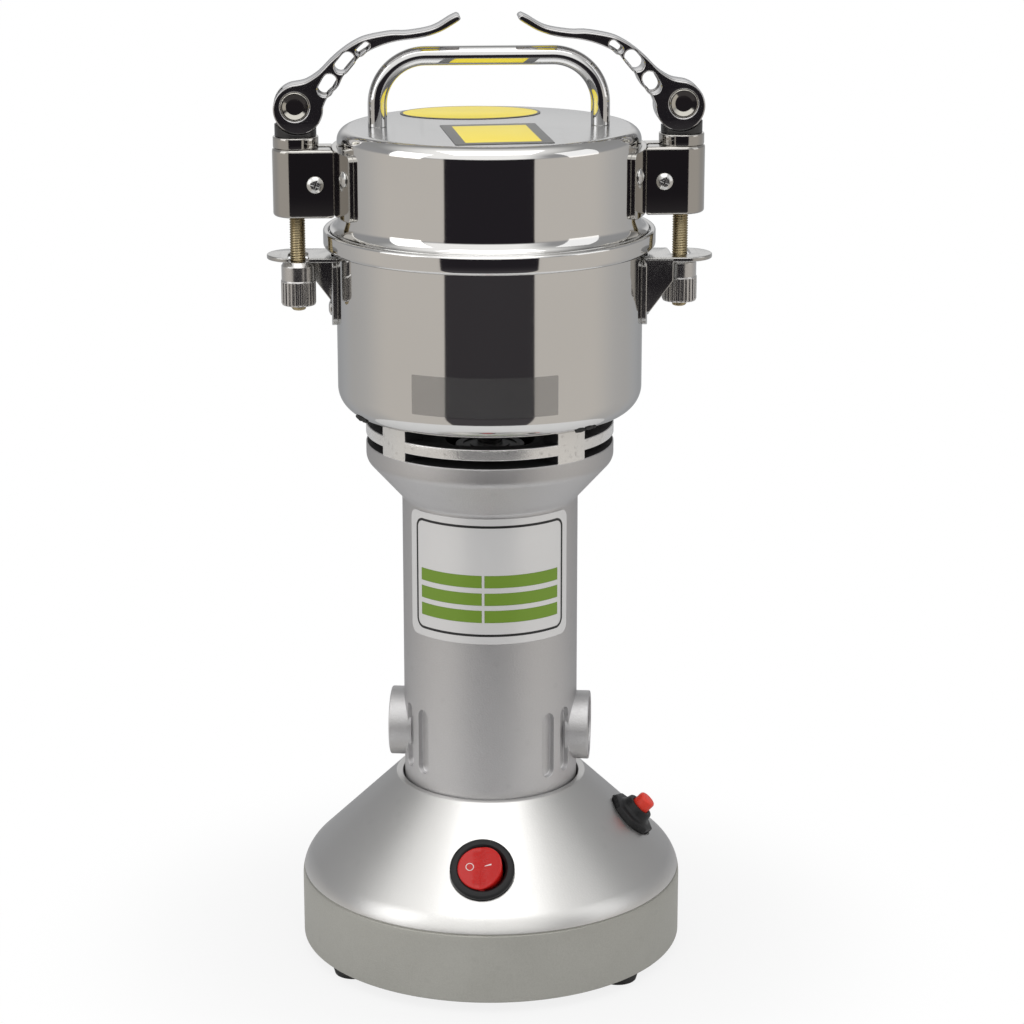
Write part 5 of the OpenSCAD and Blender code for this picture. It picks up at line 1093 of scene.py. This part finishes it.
def cradleShape():
    # hollowed out under the cam of the lever
    low = lever["pivot"] + camZ - lever["camRadius"] - clamp["hollowGap"]
    hollow = moved(drum(clamp["hollow"], -clamp["hollowHalf"], clamp["hollowHalf"], 128),
                   shift(clamp["x"] + camX, 0, low + clamp["hollow"]) @ turn(90, "X"))
    return carved(moved(turnAround(roundOff(clamp["cradle"], 4), 72), shift(clamp["x"], 0, 0)), hollow)


cradles = [moved(cradleShape(), turn(angle)) for side, word, angle in bothSides]
finishPiece("camCradles", joined(*cradles), "lid", "padBlack", "cam_cradles")


def leverShape():
    reach, rise, width = lever["reach"], lever["rise"], lever["width"]
    head = arcPoints(camX, camZ, lever["camRadius"], *lever["head"], 72)
    top = [(-x * reach, z * rise) for x, z in lever["top"]]
    low = [(-x * reach, z * rise) for x, z in lever["low"]]
    outline = head + smoothLine([head[-1]] + top)[1:] + smoothLine(low + [head[0]])[:-1]
    holes = [arcPoints(0, 0, lever["pinHole"], 0, 352.5, 47)]
    for holeX, holeZ, tilt, length, wide in lever["holes"]:
        place = Matrix.Translation((-holeX * reach, holeZ * rise, 0)) @ turn(-tilt)
        holes.append([tuple((place @ Vector((x, y, 0)))[:2]) for x, y in longHole(length * width, wide * width)])
    arm = moved(flatPlate(outline, holes, thick=width, edge=0.5, edgeSteps=4), turn(90, "X"))
    half, far, swing = lever["slotHalf"], lever["slotReach"], math.radians(lever["swing"])
    endX, endZ = half * math.cos(swing), half * math.sin(swing)
    # the slot that lets the rod pass through the cam as the lever swings
    sweep = [(-half, 0), (-half, -far), (far, -far), (endX + far * math.sin(swing), endZ - far * math.cos(swing)),
             (endX, endZ)]
    arm = carved(arm, moved(flatPlate(sweep, thick=2 * half, edge=0.05), turn(90, "X")))
    return moved(arm, shift(clamp["x"], 0, lever["pivot"]))


pin = {"end": [(0, 4.7, 0), (2.6, 4.83, 1.2), (3.9, 5.25, 0.2), (4.4, 5.25, 0.25)], "bore": (2.56, -9.0, 1.6)}


def pinShape():
    otherEnd = [(r, -z, corner) for r, z, corner in pin["end"]]
    barrel = moved(turnAround(roundOff(otherEnd + pin["end"][::-1]), 72), turn(90, "X"))
    return moved(carved(barrel, drum(*pin["bore"], 48)), shift(clamp["x"], 0, lever["pivot"]))


thread = {"low": 214.315, "high": 280.55, "major": 2.5, "depth": 0.3, "pitch": 0.8, "plain": 266.5,
          "plainRadius": 2.45, "run": 0.3, "tip": 1.4, "tipShare": 0.55, "columns": 28}


def rodShape():
    # a fine thread with a rounded tip below, plain above the nut's travel
    bm = bmesh.new()
    columns, length = thread["columns"], thread["plain"] - thread["low"]
    angles = [fullTurn * k / columns for k in range(columns)]
    rows = int(length / (thread["pitch"] / 4))
    rings = []
    for i in range(rows + 1):
        up = length * i / rows
        share = min(up / thread["tip"], 1.0)
        tip = thread["tipShare"] + (1 - thread["tipShare"]) * math.sqrt(max(1 - (1 - share) ** 2, 0))
        ring = []
        for angle in angles:
            cut = thread["depth"] * (0.5 - 0.5 * math.cos(fullTurn * up / thread["pitch"] - angle))
            ring.append(bm.verts.new(spot((thread["major"] - cut * share) * tip, angle, thread["low"] + up)))
        rings.append(ring)
    for z in (thread["plain"] + thread["run"], thread["high"]):
        rings.append([bm.verts.new(spot(thread["plainRadius"], angle, z)) for angle in angles])
    bridged(bm, rings)
    bm.faces.new(rings[0])
    bm.faces.new(rings[-1])
    return moved(sealed(bm), shift(clamp["x"], 0, 0))


knurl = {
    "line": [(2.56, 216.115), (5.2, 216.115, 0.2), (5.5, 216.815), (5.5, 217.115), (5.5, 223.5), (5.5, 223.75),
             (5.42, 223.95), (5.3, 224.1), (5.3, 228.6, 0.4), (4.3, 230.115, 0.4), (2.56, 230.115)],
    "low": 216.615, "high": 223.7, "from": 5.35, "count": 24, "depth": 0.42, "sharpness": 1.5,
}


def nutShape():
    line = roundOff(knurl["line"], 4)

    def knurled(k, angle, r):
        if r < knurl["from"] or not knurl["low"] < line[k][1] < knurl["high"]:
            return r
        return r - knurl["depth"] * max(0.0, math.cos(knurl["count"] * angle)) ** knurl["sharpness"]

    return moved(turnAround(line, knurl["count"] * 10, knurled), shift(clamp["x"], 0, 0))


for side, word, angle in bothSides:
    finishPiece("lever" + side, moved(leverShape(), turn(angle)), "lever_" + word, "leverSteel", "lever_" + word,
                sharp=35)
    finishPiece("barrelPin" + side, moved(pinShape(), turn(angle)), "rod_" + word, "pinSteel",
                "barrel_pin_" + word)
    finishPiece("clampRod" + side, moved(rodShape(), turn(angle)), "rod_" + word, "threadZinc",
                "clamp_rod_" + word, sharp=60)
    finishPiece("knurledNut" + side, moved(nutShape(), turn(angle)), "nut_" + word, "nutNickel", "nut_" + word,
                sharp=30)
print("clamps made")

camera = {"lens": 103.14, "sensor": 36, "shift": 0.02133, "place": (-42.9, -910.4, 404.6), "tilt": 15.782,
          "turn": -2.7, "roll": -0.142}
cameraData = bpy.data.cameras.new("photoCamera")
cameraData.lens = camera["lens"]
cameraData.sensor_width = camera["sensor"]
cameraData.shift_x = camera["shift"]
cameraData.clip_start = 0.01
cameraData.clip_end = 50
photoCamera = bpy.data.objects.new("photoCamera", cameraData)
photoCamera.matrix_world = (shift(*camera["place"]) @ turn(camera["turn"])
                            @ turn(90 - camera["tilt"], "X") @ turn(camera["roll"]))
bpy.context.scene.collection.objects.link(photoCamera)
bpy.context.scene.camera = photoCamera

# the floor is white where the camera sees it, and near the base it keeps part of the shadow
floor = {"radius": 0.22, "fade": (0.066, 0.17), "paper": (0.62, 0.62, 0.62), "shadowShare": 0.16,
         "glossShare": 0.1}
floorShape = bmesh.new()
bmesh.ops.create_circle(floorShape, cap_ends=True, segments=96, radius=floor["radius"])
floorPiece = asObject("studioFloor", floorShape)
floorFinish = bpy.data.materials.new("paleFloor")
floorFinish.use_nodes = True
tree = floorFinish.node_tree
tree.nodes.remove(tree.nodes["Principled BSDF"])
paper = addNode(tree, "ShaderNodeBsdfDiffuse", {"Color": floor["paper"]})
glow = addNode(tree, "ShaderNodeEmission", {"Color": (1, 1, 1), "Strength": 1})
away = addNode(tree, "ShaderNodeVectorMath", {0: objectPlace(tree)}, operation="LENGTH").outputs["Value"]
fade = between(tree, away, *floor["fade"], 1 - floor["shadowShare"], 1, "SMOOTHERSTEP")
rays = addNode(tree, "ShaderNodeLightPath").outputs
seen = sums(tree, "MAXIMUM", rays["Is Camera Ray"], rays["Is Transmission Ray"])
seen = sums(tree, "MAXIMUM", seen, sums(tree, "MULTIPLY", rays["Is Glossy Ray"], floor["glossShare"]))
mixed = addNode(tree, "ShaderNodeMixShader",
                {0: sums(tree, "MULTIPLY", fade, seen, True), 1: paper.outputs[0], 2: glow.outputs[0]})
tree.links.new(mixed.outputs[0], tree.nodes["Material Output"].inputs["Surface"])
floorPiece.data.materials.append(floorFinish)
floorPiece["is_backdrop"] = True

# the room that the polished steel mirrors: walls by the turn from the front, lights by height
room = {
    "frontTurn": -2.7, "wall": (0.505, 0.476, 0.442), "wallFar": (0.42, 0.41, 0.40), "farTurn": (1.4, 2.0),
    "behind": (0.45, 0.455, 0.465), "behindTurn": (2.1, 2.6), "farHigh": (0.29, 0.29, 0.295),
    "behindHigh": (0.86, 0.86, 0.86), "behindHighTurn": (2.6, 2.95), "wallRise": (0.0, 0.2),
    "high": (0.28, 0.28, 0.28), "highRise": (0.35, 0.6),
    "light": (0.95, 0.942, 0.928), "lightTurn": -13.0, "lightHalf": 46.0, "lightEdge": 0.25,
    "lightRise": (0.1, 0.24), "topAim": (-0.12, -0.36, 0.925), "topReach": (0.5, 0.98),
    "dark": (0.016, 0.014, 0.017), "darkHalf": 33.8, "darkEdge": 0.012, "darkRise": (0.22, 0.1),
    "darkLow": (0.055, 0.051, 0.054), "darkLowRise": (-0.2, -0.36),
    "plain": (0.90, 0.90, 0.90),  # what the dull surfaces are lit by
}
world = bpy.data.worlds.new("studioWorld")
bpy.context.scene.world = world
world.use_nodes = True
tree = world.node_tree
direction = addNode(tree, "ShaderNodeTexCoord").outputs["Generated"]
facing = addNode(tree, "ShaderNodeSeparateXYZ", {0: direction}).outputs
height = facing["Z"]
azimuth = sums(tree, "ARCTAN2", facing["X"], sums(tree, "MULTIPLY", facing["Y"], -1.0))


def soft(value, start, end):
    return between(tree, value, start, end, how="SMOOTHSTEP")


def turnedFrom(degrees):
    return sums(tree, "ABSOLUTE", sums(tree, "SUBTRACT", azimuth, math.radians(degrees)))


def within(value, degrees, edge):
    return soft(value, math.radians(degrees) + edge, math.radians(degrees) - edge)


fromFront = turnedFrom(room["frontTurn"])
wall = blendColours(tree, room["wall"], room["wallFar"], soft(fromFront, *room["farTurn"]))
wall = blendColours(tree, wall, room["behind"], soft(fromFront, *room["behindTurn"]))
wallHigh = blendColours(tree, room["farHigh"], room["behindHigh"], soft(fromFront, *room["behindHighTurn"]))
wall = blendColours(tree, wall, wallHigh, soft(height, *room["wallRise"]))
colour = blendColours(tree, wall, room["high"], soft(height, *room["highRise"]))
inLight = within(turnedFrom(room["lightTurn"]), room["lightHalf"], room["lightEdge"])
inLight = sums(tree, "MULTIPLY", inLight, soft(height, *room["lightRise"]))
colour = blendColours(tree, colour, room["light"], inLight)
overhead = addNode(tree, "ShaderNodeVectorMath", {0: direction, 1: Vector(room["topAim"]).normalized()},
                   operation="DOT_PRODUCT").outputs["Value"]
colour = blendColours(tree, colour, room["light"], soft(overhead, *room["topReach"]))
inDark = sums(tree, "MULTIPLY", within(fromFront, room["darkHalf"], room["darkEdge"]),
              soft(height, *room["darkRise"]))
dark = blendColours(tree, room["dark"], room["darkLow"], soft(height, *room["darkLowRise"]))
colour = blendColours(tree, colour, dark, inDark)
rays = addNode(tree, "ShaderNodeLightPath").outputs
colour = blendColours(tree, colour, room["plain"], rays["Is Diffuse Ray"])
seen = sums(tree, "MAXIMUM", rays["Is Camera Ray"], rays["Is Transmission Ray"])
background = tree.nodes["Background"].inputs
tree.links.new(blendColours(tree, colour, (1, 1, 1), seen), background["Color"])
background["Strength"].default_value = 1

lamps = {  # place, aim, size and power in watts
    "topSoftbox": ((0.0, -0.45, 1.35), (0, 0, 0.1), (1.1, 0.8), 2.4),
    "leftSoftbox": ((-1.2, -0.5, 0.7), (0, 0, 0.15), (0.7, 1.0), 2.4),
    "rightSoftbox": ((1.2, -0.4, 0.7), (0, 0, 0.15), (0.7, 1.0), 1.5),
}
for name, (place, aim, size, power) in lamps.items():
    light = bpy.data.lights.new(name, "AREA")
    light.shape = "RECTANGLE"
    light.size, light.size_y = size
    light.energy = power
    lamp = bpy.data.objects.new(name, light)
    lamp.location = place
    lamp.rotation_euler = (Vector(aim) - Vector(place)).to_track_quat("-Z", "Y").to_euler()
    bpy.context.scene.collection.objects.link(lamp)

bpy.context.scene.view_settings.view_transform = "Standard"
print("camera, floor and lamps placed")

low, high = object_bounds()
